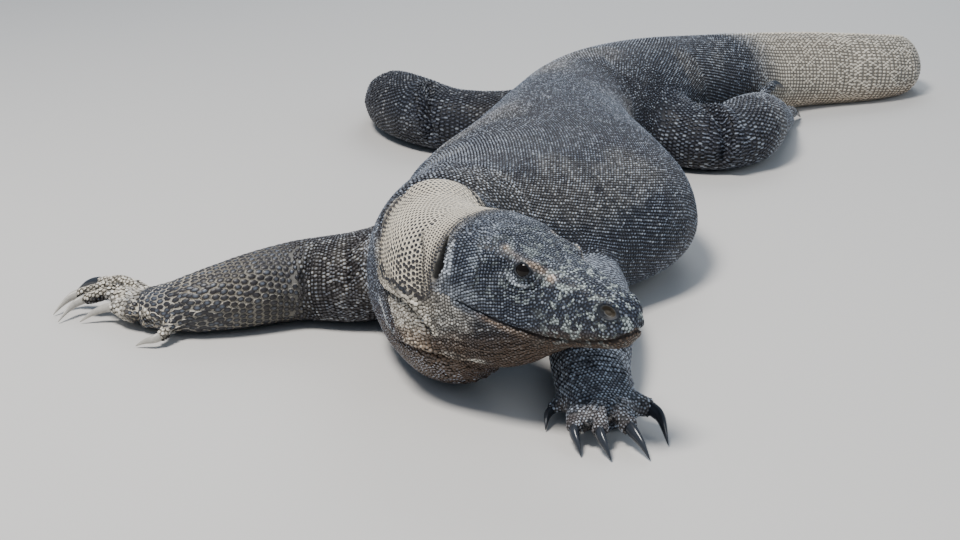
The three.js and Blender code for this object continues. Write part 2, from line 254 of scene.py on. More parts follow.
NAPE = station_of((-20, -270, 100))
SHOULDER = station_of((6, -40, 70))
CHEST = station_of((70, 95, 62))
LOIN = station_of((118, 500, 68))
TAIL_ROOT = station_of((274, 770, 70))
TAIL_FOLD = station_of((757, 1226, 40))


def leg_of(anatomy):
    """The number of the leg that each point belongs to, its toes with it, or -1 on the body."""
    leg = np.where(anatomy.line > LEGS[-1], (anatomy.line - LEGS[-1] - 1) // TOES, anatomy.line - 1)
    return np.where(anatomy.line == BODY, -1, leg)


def share_along(anatomy):
    """How far along its own line each point lies, from 0 to 1."""
    return np.clip(anatomy.s / line_lengths[anatomy.line], 0, 1)


#
# The skin: the flesh solids closed into one body, evened out, then shaped.
#
SWELL = 0.35 * MM        # closes the thin partings between the solids
WELD = 0.01 * MM
VOXEL = 3.5 * MM
COAT_DEPTH = 0.9 * MM    # how far the skin lies inside the solids
SPINE_EASE = 0.05        # how strongly each part is evened out, for its girth
LIMB_EASE = 0.10
HEAD_EASE = 0.05
LEAST_EASE = 0.3
HEAD_EASED_FROM = 20     # places along the head, from the ears: from where it is evened gently,
MESHED_FROM = -45        # meshed finely,
SCULPTED_FROM = -30      # sculpted,
WHOLE_FROM = -20         # and keeps all its faces
SOLVER_ROUNDS = 30


def is_flesh(name):
    return "_claw_" not in name


def mesh_object(name, mesh):
    made = bpy.data.objects.new(name, mesh)
    bpy.context.scene.collection.objects.link(made)
    return made


def discard(made):
    mesh = made.data
    bpy.data.objects.remove(made)
    if mesh and not mesh.users:
        bpy.data.meshes.remove(mesh)


def applied(made):
    """The object's mesh with its modifiers worked in."""
    depsgraph = bpy.context.evaluated_depsgraph_get()
    return bpy.data.meshes.new_from_object(made.evaluated_get(depsgraph), depsgraph=depsgraph)


def mesh_from(work, name):
    """A smooth-shaded mesh of what bmesh holds, which is freed."""
    mesh = bpy.data.meshes.new(name)
    work.to_mesh(mesh)
    work.free()
    return smooth_shaded(mesh)


def smooth_shaded(mesh):
    for face in mesh.polygons:
        face.use_smooth = True
    return mesh


def fields(source, count, key, kind, width):
    """A field of every item of a mesh, one row for one item."""
    flat = np.empty(count * width, kind)
    source.foreach_get(key, flat)
    return flat.reshape(-1, width)


def coordinates(mesh):
    return fields(mesh.vertices, len(mesh.vertices), "co", np.float32, 3).astype(float)


def place_vertices(mesh, points):
    mesh.vertices.foreach_set("co", np.asarray(points, np.float32).ravel())
    mesh.update()


def vertex_normals(mesh):
    return fields(mesh.vertex_normals, len(mesh.vertices), "vector", np.float32, 3).astype(float)


def closed_flesh():
    """One closed mesh around all the flesh and the eyes."""
    whole = bmesh.new()
    for name in filter(is_flesh, sorted(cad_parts)):
        piece = bmesh.new()
        piece.from_mesh(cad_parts[name].data)
        bmesh.ops.remove_doubles(piece, verts=piece.verts, dist=WELD)
        piece.normal_update()
        for vertex in piece.verts:
            vertex.co += vertex.normal * SWELL
        swollen = mesh_from(piece, name)
        whole.from_mesh(swollen)
        bpy.data.meshes.remove(swollen)
    made = mesh_object("flesh", mesh_from(whole, "flesh"))
    remesh = made.modifiers.new("closed", "REMESH")
    remesh.mode = "VOXEL"
    remesh.voxel_size = VOXEL
    closed = applied(made)
    discard(made)
    return closed


def spread_sum(ends, values, count):
    """For every vertex, the sum of a value over its neighbours."""
    a, b = ends.T
    return np.column_stack([
        np.bincount(a, column[b], count) + np.bincount(b, column[a], count) for column in values.T
    ])


def evened(points, ends, softness):
    """Smooths points over their edges, more where softness is higher, by conjugate gradients."""
    count = len(points)
    degree = np.bincount(ends.ravel(), minlength=count)[:, None]
    hold = 1 / softness[:, None]

    def apply(x):
        return (hold + degree) * x - spread_sum(ends, x, count)

    weight = 1 / (hold + degree)
    x = points.copy()
    rest = hold * points - apply(x)
    step = weight * rest
    aim = step.copy()
    size = (rest * step).sum(0)
    for _ in range(SOLVER_ROUNDS):
        pushed = apply(aim)
        stride = size / (aim * pushed).sum(0)
        x += stride * aim
        rest -= stride * pushed
        step = weight * rest
        fresh = (rest * step).sum(0)
        aim = step + aim * (fresh / size)
        size = fresh
    return x


def softened(mesh, softness):
    """Smooths a mesh and gives back the volume that plain smoothing would take."""
    points = coordinates(mesh)
    ends = fields(mesh.edges, len(mesh.edges), "vertices", np.int32, 2)
    once = evened(points, ends, softness)
    twice = evened(once, ends, softness)
    place_vertices(mesh, 2 * once - twice)


def ease_of(anatomy):
    """How strongly to even out each vertex: by its girth, gently on the head, hands and feet."""
    share = np.where(anatomy.line == BODY, SPINE_EASE, LIMB_EASE)
    share = np.where((anatomy.line == BODY) & (anatomy.head[:, 0] > HEAD_EASED_FROM), HEAD_EASE, share)
    hand = np.isin(anatomy.line, LEGS) * ramp(share_along(anatomy), 0.8, 0.9)
    small = np.maximum(hand, anatomy.line > LEGS[-1])
    girth = anatomy.radius + small * (TOE_GIRTH * MM - anatomy.radius)
    return np.maximum(share * (girth / VOXEL) ** 2, LEAST_EASE)


def subdivide(mesh, chosen):
    """Splits every face whose corners are all chosen into four."""
    work = bmesh.new()
    work.from_mesh(mesh)
    work.verts.ensure_lookup_table()
    work.verts.index_update()
    edges = [e for e in work.edges if chosen[e.verts[0].index] and chosen[e.verts[1].index]]
    bmesh.ops.subdivide_edges(work, edges=edges, cuts=1, use_grid_fill=True, smooth=0)
    work.to_mesh(mesh)
    work.free()


def stroke(points, path):
    """Distance from every point to a path, and how far along the path its nearest place is."""
    path = np.asarray(path, float)
    if len(path) == 1:
        return np.linalg.norm(points - path[0], axis=1), np.zeros(len(points))
    best = np.full(len(points), np.inf)
    share = np.zeros(len(points))
    for i, (a, b) in enumerate(zip(path, path[1:])):
        run = b - a
        t = np.clip(((points - a) @ run) / (run @ run), 0, 1)
        gap = np.linalg.norm(points - a - t[:, None] * run, axis=1)
        closer = gap < best
        best[closer] = gap[closer]
        share[closer] = (i + t[closer]) / (len(path) - 1)
    return best, share


def gap_to(points, path):
    """Distance from every point to a path."""
    return stroke(points, path)[0]


def swell(gap, width):
    """A soft bump: 1 on the stroke, falling to nothing at about twice its width."""
    return np.exp(-((gap / width) ** 2))


def ramp(value, low, high):
    """0 below low, 1 above high, and a smooth rise between."""
    t = np.clip((value - low) / (high - low), 0, 1)
    return t * t * (3 - 2 * t)


# The head's forms, on both sides: a path in the head's frame, the width of the stroke and how
# far it stands out, all in millimetres.
LIP_LINE = [
    (30, 60, -4), (51, 55, -9), (64, 50, -12), (78, 45, -15), (92, 39, -17), (110, 31, -19), (130, 24, -17),
    (145, 22, -12), (159, 20, -7), (170, 17, -3), (177, 13, 2), (181, 7, 5), (184, 0, 6),
]
EAR_SLIT = [(-1, 50, 41), (3, 54, 32), (5, 58, 21), (2, 61, 8)]
EAR_WIDTHS = ([0, 0.3, 0.75, 1], [1.6, 2.8, 4.8, 3.0])   # half breadth of the slit, along it
NOSTRIL = (163.5, 20.5, 21.5)
NOSTRIL_SLANT = (0.94, 0.34)
NOSTRIL_SIZE = (7.6, 14.0, 4.4)
NOSTRIL_RIM = 1.2
NOSTRIL_DEPTH = 4.2
EAR_DEPTH = 13.0
LIP_BREADTH = 1.3
LIP_DEPTH = 2.6
HEAD_FORMS = {
    "brow": ([(48, 32, 49), (60, 32, 50), (76, 35, 49), (88, 33, 47), (98, 26, 42)], 4.5, 3.6),
    "socket": ([(66, 43, 40), (58, 45, 30)], 6.0, -2.6),
    "canthus": ([(98, 29, 45), (124, 25, 38), (146, 20, 34)], 5.0, 1.6),
    "lore": ([(98, 37, 24), (128, 31, 18)], 8.0, -2.2),
    "snout": ([NOSTRIL], 10.0, 2.0),
    "upper_lip": ([(x, y, z + 6) for x, y, z in LIP_LINE[1:]], 4.5, 1.5),
    "lower_lip": ([(x, y - 1, z - 4) for x, y, z in LIP_LINE[1:]], 3.0, 1.0),
    "cheek": ([(34, 58, 2), (40, 55, 24)], 15.0, 2.4),
    "temple": ([(26, 46, 44), (44, 42, 46)], 9.0, 1.2),
    "ear_front": ([(x + 9, y, z) for x, y, z in EAR_SLIT], 4.0, 2.4),
    "ear_back": ([(x - 10, y, z) for x, y, z in EAR_SLIT], 5.0, 1.8),
    "crown": ([(24, 0, 58), (100, 0, 44)], 10.0, -1.2),
}

# The folds of the skin, from the shoulders' frame: the path of each crease, the way to the roll
# of skin beside it, and the crease's width and depth and the roll's height, in millimetres.
FOLDS = {
    "collar": (
        [(-97, -225, 112), (-93, -248, 105), (-87, -271, 99), (-77, -295, 100), (-69, -308, 101),
         (-59, -319, 97), (-47, -330, 86), (-40, -336, 74)], (0, 0, 6), 2.8, 6.5, 3.6),
    "throat": (
        [(-92, -240, 72), (-85, -261, 58), (-80, -266, 51), (-61, -304, 55), (-43, -321, 55),
         (-27, -333, 55), (-11, -338, 52), (10, -345, 52)], (0, 0, 6), 2.8, 6.5, 3.6),
    "nape": (
        [(-53, -301, 164), (-51, -322, 149), (-51, -329, 128), (-52, -329, 104)], (-4, -4, 0), 2.4, 1.6, 1.6),
    "neck_top": (
        [(-84, -172, 154), (-62, -152, 170), (-24, -144, 178), (20, -150, 174), (52, -165, 158)],
        (0, -34, 2), 15.0, 11.0, 6.0),
    "shoulder": (
        [(-78, -165, 158), (-94, -180, 146), (-97, -212, 130), (-96, -230, 114), (-93, -251, 100),
         (-86, -271, 92), (-82, -277, 72), (-77, -264, 44)], (10, -12, 0), 5.0, 6.5, 3.0),
    "armpit": (
        [(-128, -70, 104), (-132, -104, 88), (-132, -118, 70), (-129, -122, 38)], (10, -6, 0), 4.0, 4.5, 2.0),
    "elbow": (
        [(-166, -78, 88), (-176, -100, 78), (-182, -106, 61), (-183, -110, 44)], (-8, 0, 0), 3.5, 3.0, 1.6),
    "hip": (
        [(176, 622, 166), (184, 600, 163), (202, 564, 150), (222, 531, 118), (228, 504, 90)],
        (-11, -7, 4), 8.0, 5.5, 3.5),
    "right_knee": (
        [(-74, 748, 102), (-78, 718, 96), (-80, 687, 78), (-80, 679, 60), (-77, 674, 41), (-74, 682, 18)],
        (-17, 0, 0), 6.5, 17.0, 8.0),
    "left_knee": (
        [(300, 622, 98), (325, 593, 94), (338, 572, 86), (346, 552, 72), (350, 545, 55), (348, 546, 33),
         (343, 553, 14)], (15, 6, 0), 6.0, 14.0, 7.0),
}

LID_OPEN = (0.76, 0.62)   # half opening of the lids, lengthwise and upright, in radians
LID_REACH = 1.9           # how far the lids spread, as a share of the opening
LID_HEIGHT = 1.3
EYE_HOLLOW = 2.6
LID_NEAR = 2.2            # how far out the lids reach, in radii of the eye
RIM_NEAR = 1.7
EYE_RING = (9.5, 8.4)     # half axes of the ring that the eye's bags are measured by
EYE_BAGS = [(1.72, 0.15, 1.2), (2.02, 0.13, -1.5), (1.42, 0.11, -1.2)]   # radius, width, height
GAZE = np.array([0.24, 0.93, 0.24]) / np.linalg.norm([0.24, 0.93, 0.24])
LENGTHWISE = np.cross(GAZE, UP) / np.linalg.norm(np.cross(GAZE, UP))
UPRIGHT = np.cross(LENGTHWISE, GAZE)


def mirrored(points):
    """Head places with both sides folded onto the left one."""
    return points * (1, 0, 1) + np.abs(points * (0, 1, 0))


def lid_span(points):
    """How far round the eyeball a point lies, 1 on the edge of the lids' opening, and how far out."""
    out = points - EYE_PLACE
    distance = np.linalg.norm(out, axis=1)
    direction = out / np.maximum(distance, 1e-6)[:, None]
    facing = direction @ GAZE
    across = np.arctan2(direction @ LENGTHWISE, facing)
    upright = np.arctan2(direction @ UPRIGHT, facing)
    span = np.sqrt((across / LID_OPEN[0]) ** 2 + (upright / LID_OPEN[1]) ** 2)
    return span, np.where(facing > 0, distance, np.inf)


def lidded(points):
    """Opens the lids over the eye and rolls their edges; points are in the folded head frame."""
    span, distance = lid_span(points)
    edge = 1 - ramp(span, 0.92, 1.10)
    lid = ramp(span, 0.9, 1.1) * (1 - ramp(span, 1.25, LID_REACH))
    target = EYE_RADIUS + LID_HEIGHT - edge * (LID_HEIGHT + EYE_HOLLOW)
    weight = np.where(distance < LID_NEAR * EYE_RADIUS, np.maximum(edge, lid), 0)
    scale = 1 + weight * (target / np.maximum(distance, 1e-6) - 1)
    return EYE_PLACE + (points - EYE_PLACE) * scale[:, None]


def nostril_reach(folded):
    """Distance from the nostril, 1 on its edge; the nostril is an oval that slants back."""
    off = folded - NOSTRIL
    cosine, sine = NOSTRIL_SLANT
    lengthwise = off[:, 0] * cosine - off[:, 2] * sine
    upright = off[:, 0] * sine + off[:, 2] * cosine
    length, depth, height = NOSTRIL_SIZE
    return np.sqrt((lengthwise / length) ** 2 + (upright / height) ** 2 + (off[:, 1] / depth) ** 2)


FAR = 99.0                # stands for any place beyond reach
EAR_SIDE = 30             # how far from the middle the ear lies, at least
LIPS_INSIDE = (170, 8)    # the mouth's inside: short of the first, and nearer the middle than the second


def ear_reach(folded):
    """Distance from the ear's slit, seen from the side, 1 on its edge; it is widest low down."""
    gap, share = stroke(folded * (1, 0, 1), np.array(EAR_SLIT) * (1, 0, 1))
    return np.where(folded[:, 1] < EAR_SIDE, FAR, gap / np.interp(share, *EAR_WIDTHS))


def lip_gap(folded):
    """Distance from the line of the lips, seen from the side."""
    inside = (folded[:, 0] < LIPS_INSIDE[0]) & (folded[:, 1] < LIPS_INSIDE[1])
    return np.where(inside, FAR, gap_to(folded * (1, 0, 1), np.array(LIP_LINE) * (1, 0, 1)))


def sculpt_head(points, normals):
    """Raises and sinks the head's forms, opens the nostrils and the lids."""
    sides = np.where(points[:, 1:2] < 0, -1.0, 1.0)
    folded = mirrored(points)
    lift = np.zeros(len(points))
    for path, width, height in HEAD_FORMS.values():
        gap, share = stroke(folded, path)
        ends = ramp(share, -0.02, 0.2) * (1 - ramp(share, 0.85, 1.1))
        lift += height * swell(gap, width) * (ends if len(path) > 2 else 1)
    points = points + normals * lift[:, None]
    folded = mirrored(points)
    reach = nostril_reach(folded)
    rim = swell(reach - 1.3, 0.3) * NOSTRIL_RIM
    pit = (1 - ramp(reach, 0.5, 1.1)) * NOSTRIL_DEPTH
    hollow = (1 - ramp(ear_reach(folded), 0.4, 1.15)) * EAR_DEPTH
    parting = swell(lip_gap(folded), LIP_BREADTH) * LIP_DEPTH
    upright = (folded - EYE_PLACE) @ UPRIGHT
    ring = np.hypot((folded - EYE_PLACE) @ LENGTHWISE / EYE_RING[0], upright / EYE_RING[1])
    under = (folded[:, 1] > 20) * (0.35 + 0.65 * ramp(-upright, -3, 5))
    bags = under * sum(height * swell(ring - radius, width) for radius, width, height in EYE_BAGS)
    points = points + normals * (rim + bags - pit - hollow - parting)[:, None]
    opened = lidded(mirrored(points))
    return np.column_stack([opened[:, 0], opened[:, 1] * sides[:, 0], opened[:, 2]])


def sculpt_folds(points, normals):
    """Creases of the neck, throat and joints, each with its roll of skin."""
    lift = np.zeros(len(points))
    for path, aside, width, depth, height in FOLDS.values():
        crease = from_shoulders(path)
        gap, share = stroke(points, crease)
        fade = ramp(share, 0, 0.18) * (1 - ramp(share, 0.8, 1))
        roll = gap_to(points, crease + np.array(aside) * MM)
        lift += fade * (height * swell(roll / MM, width * 1.5) - depth * swell(gap / MM, width))
    return points + normals * (lift * MM)[:, None]


WRINKLES = [  # line, where along it, height in millimetres, and distance between two wrinkles
    ("foreleg_left", 0.62, 0.94, 0.9, 6.5), ("foreleg_right", 0.66, 0.9, 0.5, 6.5),
    ("hindleg_left", 0.52, 0.86, 1.0, 6.0), ("hindleg_right", 0.5, 0.8, 0.8, 6.5),
]
WANDER = (0.02, 21)      # size and seed of the noise that bends them
THROAT_WRINKLE = 0.9     # height in millimetres
THROAT_WRINKLES = 34     # how many per radian round the throat
TOE_CLEFT = (3.2, 6.0)   # breadth and depth of the clefts between the toes, in millimetres
CLEFT_FROM = 0.25        # where the clefts begin, as a share of the toes
CLEFT_NEAR = 0.03        # how far above or below the toes a cleft acts, in metres


def sculpt_toes(points, normals):
    """Clefts between neighbouring toes, from the knuckles out."""
    lift = np.zeros(len(points))
    run = np.linspace(CLEFT_FROM, 1, 6)
    for leg in legs:
        mine = [toes[f"{leg}_toe_{number}"] for number in range(1, TOES + 1)]
        paths = [line.frame(run * line.length)[0] for line in mine]
        for first, second in zip(paths, paths[1:]):
            gap, share = stroke(points * (1, 1, 0), (first + second) / 2 * (1, 1, 0))
            gap = np.where(np.abs(points[:, 2] - first[:, 2].mean()) < CLEFT_NEAR, gap, 1)
            lift -= TOE_CLEFT[1] * swell(gap / MM, TOE_CLEFT[0]) * ramp(share, 0, 0.3)
    return points + normals * (lift * MM)[:, None]


def sculpt_wrinkles(points, normals, anatomy):
    """Fine wrinkles round the joints of the legs and along the throat."""
    lift = np.zeros(len(points))
    wander = lattice_noise(points, *WANDER) * 0.9
    share = anatomy.s / line_lengths[anatomy.line]
    for name, begin, end, height, pitch in WRINKLES:
        mine = (anatomy.line == 1 + list(legs).index(name)) * ramp(share, begin, begin + 0.08)
        mine = mine * (1 - ramp(share, end - 0.08, end))
        lift += mine * height * np.sin(2 * np.pi * (anatomy.s / (pitch * MM) + wander))
    forward, _, upward = anatomy.head.T
    throat = (anatomy.line == BODY) * ramp(forward, -30, 10) * (1 - ramp(forward, 96, 120))
    throat = throat * ramp(-upward, 16, 34)
    lift += throat * THROAT_WRINKLE * np.sin(anatomy.angle * THROAT_WRINKLES + wander * 5)
    return points + normals * (lift * MM)[:, None]


DETAIL = [  # how closely each place of the head is meshed, from the second round on
    ([tuple(EYE_PLACE)], 21), ([NOSTRIL], 13), (EAR_SLIT, 15), (LIP_LINE, 6),
]


def refined(mesh):
    """Meshes the head and the feet more finely, and the eyes, ears, nostrils and lips again."""
    anatomy = Anatomy(coordinates(mesh))
    fine = (anatomy.line > LEGS[-1]) | ((anatomy.line == BODY) & (anatomy.head[:, 0] > MESHED_FROM))
    subdivide(mesh, fine)
    folded = mirrored(to_head(coordinates(mesh)))
    chosen = np.zeros(len(folded), bool)
    for path, reach in DETAIL:
        chosen |= gap_to(folded, path) < reach
    subdivide(mesh, chosen)


def shaped_skin():
    mesh = closed_flesh()
    softened(mesh, ease_of(Anatomy(coordinates(mesh))))
    refined(mesh)
    points = coordinates(mesh) - vertex_normals(mesh) * COAT_DEPTH
    points[:, 2] = np.maximum(points[:, 2], COAT_DEPTH)
    place_vertices(mesh, points)
    place_vertices(mesh, sculpt_folds(points, vertex_normals(mesh)))
    points = coordinates(mesh)
    points = sculpt_wrinkles(points, vertex_normals(mesh), Anatomy(points))
    place_vertices(mesh, points)
    points = sculpt_toes(points, vertex_normals(mesh))
    place_vertices(mesh, points)
    head = to_head(points)
    near = head[:, 0] > SCULPTED_FROM
    normals = vertex_normals(mesh) @ HEAD_AXES
    head[near] = sculpt_head(head[near], normals[near])
    points[near] = from_head(head[near])
    place_vertices(mesh, points)
    return smooth_shaded(mesh)


#
# The markings, which skin and scales share.
#
HASH_PRIMES = (73856093, 19349663, 83492791)
HASH_SEED = 2654435761
HASH_MIX = 1274126177
HASH_LEVELS = 10007


def lattice_noise(points, size, seed):
    """Smooth noise from 0 to 1 with features of the given size, the same every run."""
    cell = points / size
    base = np.floor(cell).astype(np.int64)
    part = cell - base
    part = part * part * (3 - 2 * part)
    total = np.zeros(len(points))
    for corner in range(8):
        step = np.array([(corner >> axis) & 1 for axis in range(3)])
        node = base + step
        mixed = seed * HASH_SEED
        for axis, prime in enumerate(HASH_PRIMES):
            mixed = mixed ^ node[:, axis] * prime
        mixed = (mixed ^ (mixed >> 13)) * HASH_MIX & 0x7FFFFFFF
        weight = np.prod(np.where(step, part, 1 - part), axis=1)
        total += weight * (mixed % HASH_LEVELS) / HASH_LEVELS
    return total


BROW_STRIPE = [(58, 33, 49), (68, 36, 47), (78, 37, 45), (90, 33, 42), (99, 28, 38), (105, 26, 33)]
UNDER_EYE = [(70, 42, 30), (78, 41, 24), (88, 39, 23)]
ROLL_HIGHLIGHTS = {  # how strong the painted highlight is on the roll of skin beside each fold
    "collar": 1.5, "throat": 2.2, "nape": 0.5, "shoulder": 0.1, "elbow": 0.1, "hip": 0.1,
}
ROLL_BREADTH = 3.4
CREASE_BREADTH = 3.0
COLLAR_PLACE = (-94, -220, 122)   # a place on the fold where the pale neck ends
COLLAR_WAY = (0, -0.6, 0.8)       # and the way forward from it
SUNLIT_TAIL_STARTS = (TAIL_ROOT + 0.16, TAIL_ROOT + 0.34)   # where the painted sunlight on the tail fades in
COARSE = (0.030, 3)      # size in metres and seed of each noise
BROAD = (0.13, 5)
BLOTCHES = (0.075, 8)
# Dust and a painted sheen on the scales' tops: for each leg, and for the toes of each foot.
LEG_DUST_AND_SHEEN = (0.45, 1.0, 0.32, 0.62)
TOE_DUST_AND_SHEEN = (0.5, 1.0, 0.5, 0.9)
dust_and_sheen_by_line = np.array([0, *LEG_DUST_AND_SHEEN, *np.repeat(TOE_DUST_AND_SHEEN, TOES)])


def fold_marks(points):
    """Painted shade in the creases of the folds, and painted highlights on the rolls of skin beside them."""
    crease_shade = np.zeros(len(points))
    ridge = np.zeros(len(points))
    for name, (path, aside, width, *_) in FOLDS.items():
        crease = from_shoulders(path)
        sharp = min(CREASE_BREADTH / width, 1)
        crease_shade = np.maximum(crease_shade, sharp * swell(gap_to(points, crease) / MM, CREASE_BREADTH))
        roll = gap_to(points, crease + np.array(aside) * MM) / MM
        ridge = np.maximum(ridge, ROLL_HIGHLIGHTS.get(name, 0) * swell(roll, ROLL_BREADTH))
    return crease_shade, ridge


def openings(folded):
    """Painted shade round the eye, in the ear and in and round the nostril, and the inside of the nostril."""
    span, distance = lid_span(folded)
    rim = (distance < RIM_NEAR * EYE_RADIUS) * (1 - ramp(span, 1.25, 1.5))
    reach = nostril_reach(folded)
    ear = 1 - ramp(ear_reach(folded), 1.1, 1.3)
    return rim + ear + (1 - ramp(reach, 1.35, 1.6)), 1 - ramp(reach, 0.8, 1.0)


def markings(points, anatomy):
    """Six masks from 0 to 1 for every point: pale cream, with painted sunlight on the tail and its crest,
    painted highlights on the rolls of the folds and painted light on the tops of the fingers; warm brown;
    slate blue, partly painted skylight; lichen flecks; net, where the scales are dark with pale skin
    between them; and dust with a painted sheen on the scales' tops. Painted shade darkens the creases,
    the throat underneath and the openings of the head."""
    s, folded = anatomy.s, mirrored(anatomy.head)
    ahead, _, above = folded.T                       # forward of the ears, and above the mouth
    on_body, toe = anatomy.line == BODY, anatomy.line > LEGS[-1]
    limb = leg_of(anatomy)
    arm, fingers, hand = (limb == FORE_RIGHT) & ~toe, (limb == FORE_RIGHT) & toe, (limb == FORE_LEFT) & toe
    low = -np.cos(anatomy.angle)                     # -1 on the back, 1 underneath
    high = points[:, 2] / MM
    share = share_along(anatomy)
    coarse, broad = lattice_noise(points, *COARSE), lattice_noise(points, *BROAD)
    blotch = ramp(lattice_noise(points, *BLOTCHES), 0.42, 0.72)

    # Painted sunlight on the tail, from here to its tip.
    tail = on_body * ramp(s + 0.08 * (broad - 0.5), *SUNLIT_TAIL_STARTS)
    forward = (points - from_shoulders(COLLAR_PLACE)) @ COLLAR_WAY / MM
    neck = on_body * (1 - ramp(ahead, -14, 10)) * ramp(forward + 14 * (coarse - 0.5), -8, 10)
    trunk = on_body * ramp(-forward, -6, 20)
    back = trunk * (1 - tail)
    head = on_body * ramp(ahead, -12, 16)
    snout = head * ramp(ahead, 92, 128)
    # The throat underneath: warmer brown, and darker as painted shade.
    throat = on_body * (1 - ramp(s, NAPE - 0.02, NAPE + 0.14)) * ramp(low, 0.2, 0.7)
    brow = gap_to(folded, BROW_STRIPE)
    lips = lip_gap(folded)
    below = 1.0 * (above < np.interp(ahead, *zip(*[(x, z) for x, _, z in LIP_LINE[:11]])))
    lower_lip = head * ramp(ahead, 36, 66) * swell(lips - 3.5, 3.6) * below
    # Painted shade in the creases and painted highlights on the rolls of skin beside them.
    crease_shade, ridge = fold_marks(points)

    # Pale: the blotched back, the neck, the cheeks, the stripe of the brow, the lower lid, behind
    # the ear, painted highlights on the rolls of the folds and painted sunlight on the tail, the legs
    # with painted light on the fingers' tops and painted shade at their sides, painted sunlight on the
    # tail's crest, then the lower lip and the throat, darker underneath as painted shade.
    pale = 0.05 + 0.09 * coarse + 0.13 * blotch * back
    pale += neck * (0.78 + 0.2 * coarse) * (1 - 0.42 * ramp(-high, -112, -88))
    pale += head * 0.40 * ramp(18 - above, 0, 22) * (1 - ramp(ahead, 30, 62))
    pale += head * (0.9 + 0.4 * coarse) * swell(brow, 4.0)
    pale += head * 1.1 * swell(gap_to(folded, UNDER_EYE), 2.6) * ramp(coarse, 0.1, 0.35)
    pale += head * 0.8 * (1 - ramp(ear_reach(folded + (-9, 0, 0)), 0.6, 1.8)) * ramp(above, 2, 14)
    pale += ridge + tail * (0.66 + 0.22 * coarse)
    pale += arm * (0.02 + 0.45 * ramp(share, 0.35, 0.8) + 0.4 * ramp(share, 0.7, 0.9))
    # The right hand's fingers: pale, with painted light on their tops and painted shade at their sides and
    # underneath.
    pale += fingers * (0.62 + 0.3 * ramp(-low, 0.1, 0.8) - 0.6 * ramp(low, -0.35, 0.1))
    # The left hand's pale knuckles, and painted sunlight on the tail's crest.
    pale += hand * 0.22 * (1 - ramp(share, 0.5, 0.9)) + 0.3 * crest_of(anatomy)
    pale += 0.2 * (limb == FORE_LEFT) - 0.04 * (limb == HIND_RIGHT)
    pale += 0.22 * (limb == HIND_LEFT) * ramp(share, 0.3, 0.6)
    # The lower lip, and painted shade on the throat underneath.
    pale += lower_lip * 0.34 - throat * 0.42 * (1 - 0.6 * neck)

    # The painted highlights on the rolls of the folds take the warm brown away.
    warm = 0.06 + 0.2 * broad * (1 - head) + throat * 0.95 + 0.3 * hand - ridge
    warm += tail * (0.1 + 0.4 * ramp(low, 0.1, 0.8)) + lower_lip + head * 1.1 * swell(brow, 5)

    # Slate blue, partly painted skylight: on the head strongest on top, falling away underneath and below the
    # lips.
    blue = head * (1 - 0.8 * np.maximum(ramp(low, 0.2, 0.7), below * ramp(lips, 3, 10))) + 0.7 * back
    blue += 0.4 * arm + 0.6 * ((limb == FORE_LEFT) & ~toe) + 0.9 * (~on_body & (limb != FORE_RIGHT))
    blue -= 0.35 * blotch * (1 - head)
    fleck = snout * (1 - 0.7 * ramp(low, 0.35, 0.9)) + head * 0.5 * ramp(ahead, 20, 80) * (low < -0.2)

    net = neck * ramp(high, 104, 120) * ramp(forward, 2, 22) * (0.66 + 0.16 * ramp(high, 130, 160))
    net += arm * ramp(share, 0.30, 0.46) * (1 - ramp(share, 0.86, 0.98)) * 0.48
    # Dust and a painted sheen on the scales' tops, strongest on the back.
    dust_and_sheen = 0.5 + 0.5 * back - 0.44 * neck * ramp(high, 94, 112) - 0.2 * throat - 0.14 * head - 0.1 * snout
    leg_dust_and_sheen = dust_and_sheen_by_line[anatomy.line] + 0.36 * ((limb == HIND_LEFT) & ~toe) * ramp(share, 0.3, 0.6)
    dust_and_sheen = np.where(on_body, dust_and_sheen, leg_dust_and_sheen)

    # Painted shade in and round the eye, the ear and the nostril; the nostril's inside keeps its own colour.
    dark, inside = openings(folded)
    plain, nostril = 1 - np.clip(head * dark, 0, 1), head * inside
    # Painted shade in the creases takes away the pale and the dust and sheen.
    pale, dust_and_sheen = pale * plain * (1 - 0.8 * crease_shade), dust_and_sheen * plain * (1 - 0.7 * crease_shade)
    warm, net = warm * plain + nostril * 0.95, net * plain + nostril
    return np.clip(np.column_stack([pale, warm, blue, fleck * plain, net, dust_and_sheen]), 0, 1)


#
# The scales: rows round every line of the body, closed up with single ones where rows end.
#
RAYS = 96
ROW_RATIO = 0.88          # spacing of the rows beside the spacing in a row
TAIL_RATIO = 1.5
TAIL_WIDENS = (TAIL_ROOT, TAIL_ROOT + 0.2)
FOREARM_RATIO = 1.08
FOREARM_WIDENS = (0.32 * legs["foreleg_right"].length, 0.44 * legs["foreleg_right"].length)
CHEEK_STRETCH = (-0.12, 0.22)   # change of a scale's breadth and length
TAIL_STRETCH = (0.16, -0.26)
ROW_JITTER = 0.12         # how far a scale strays from its place in the row, in spacings
TAIL_JITTER = 0.04
STEEPEST = 0.78           # no rows where the skin faces further than this along the line
ROW_CROWD = 0.70          # closest that scales of rows come, beside their spacing
SINGLE_GAP = 0.74         # closest that a single scale comes to its neighbours
SINGLE_TRIES = 5          # random places tried for each scale's share of the skin
WIDE_ROWS = 1.45          # ratio from which the gap of single scales widens with the rows
CROWDED = 1.22            # how much more the rows are thinned where a bend crowds them most
REACH = 2.2               # how far rays go from a line, in half girths
FEWEST_RAYS = 5
SEED = 11

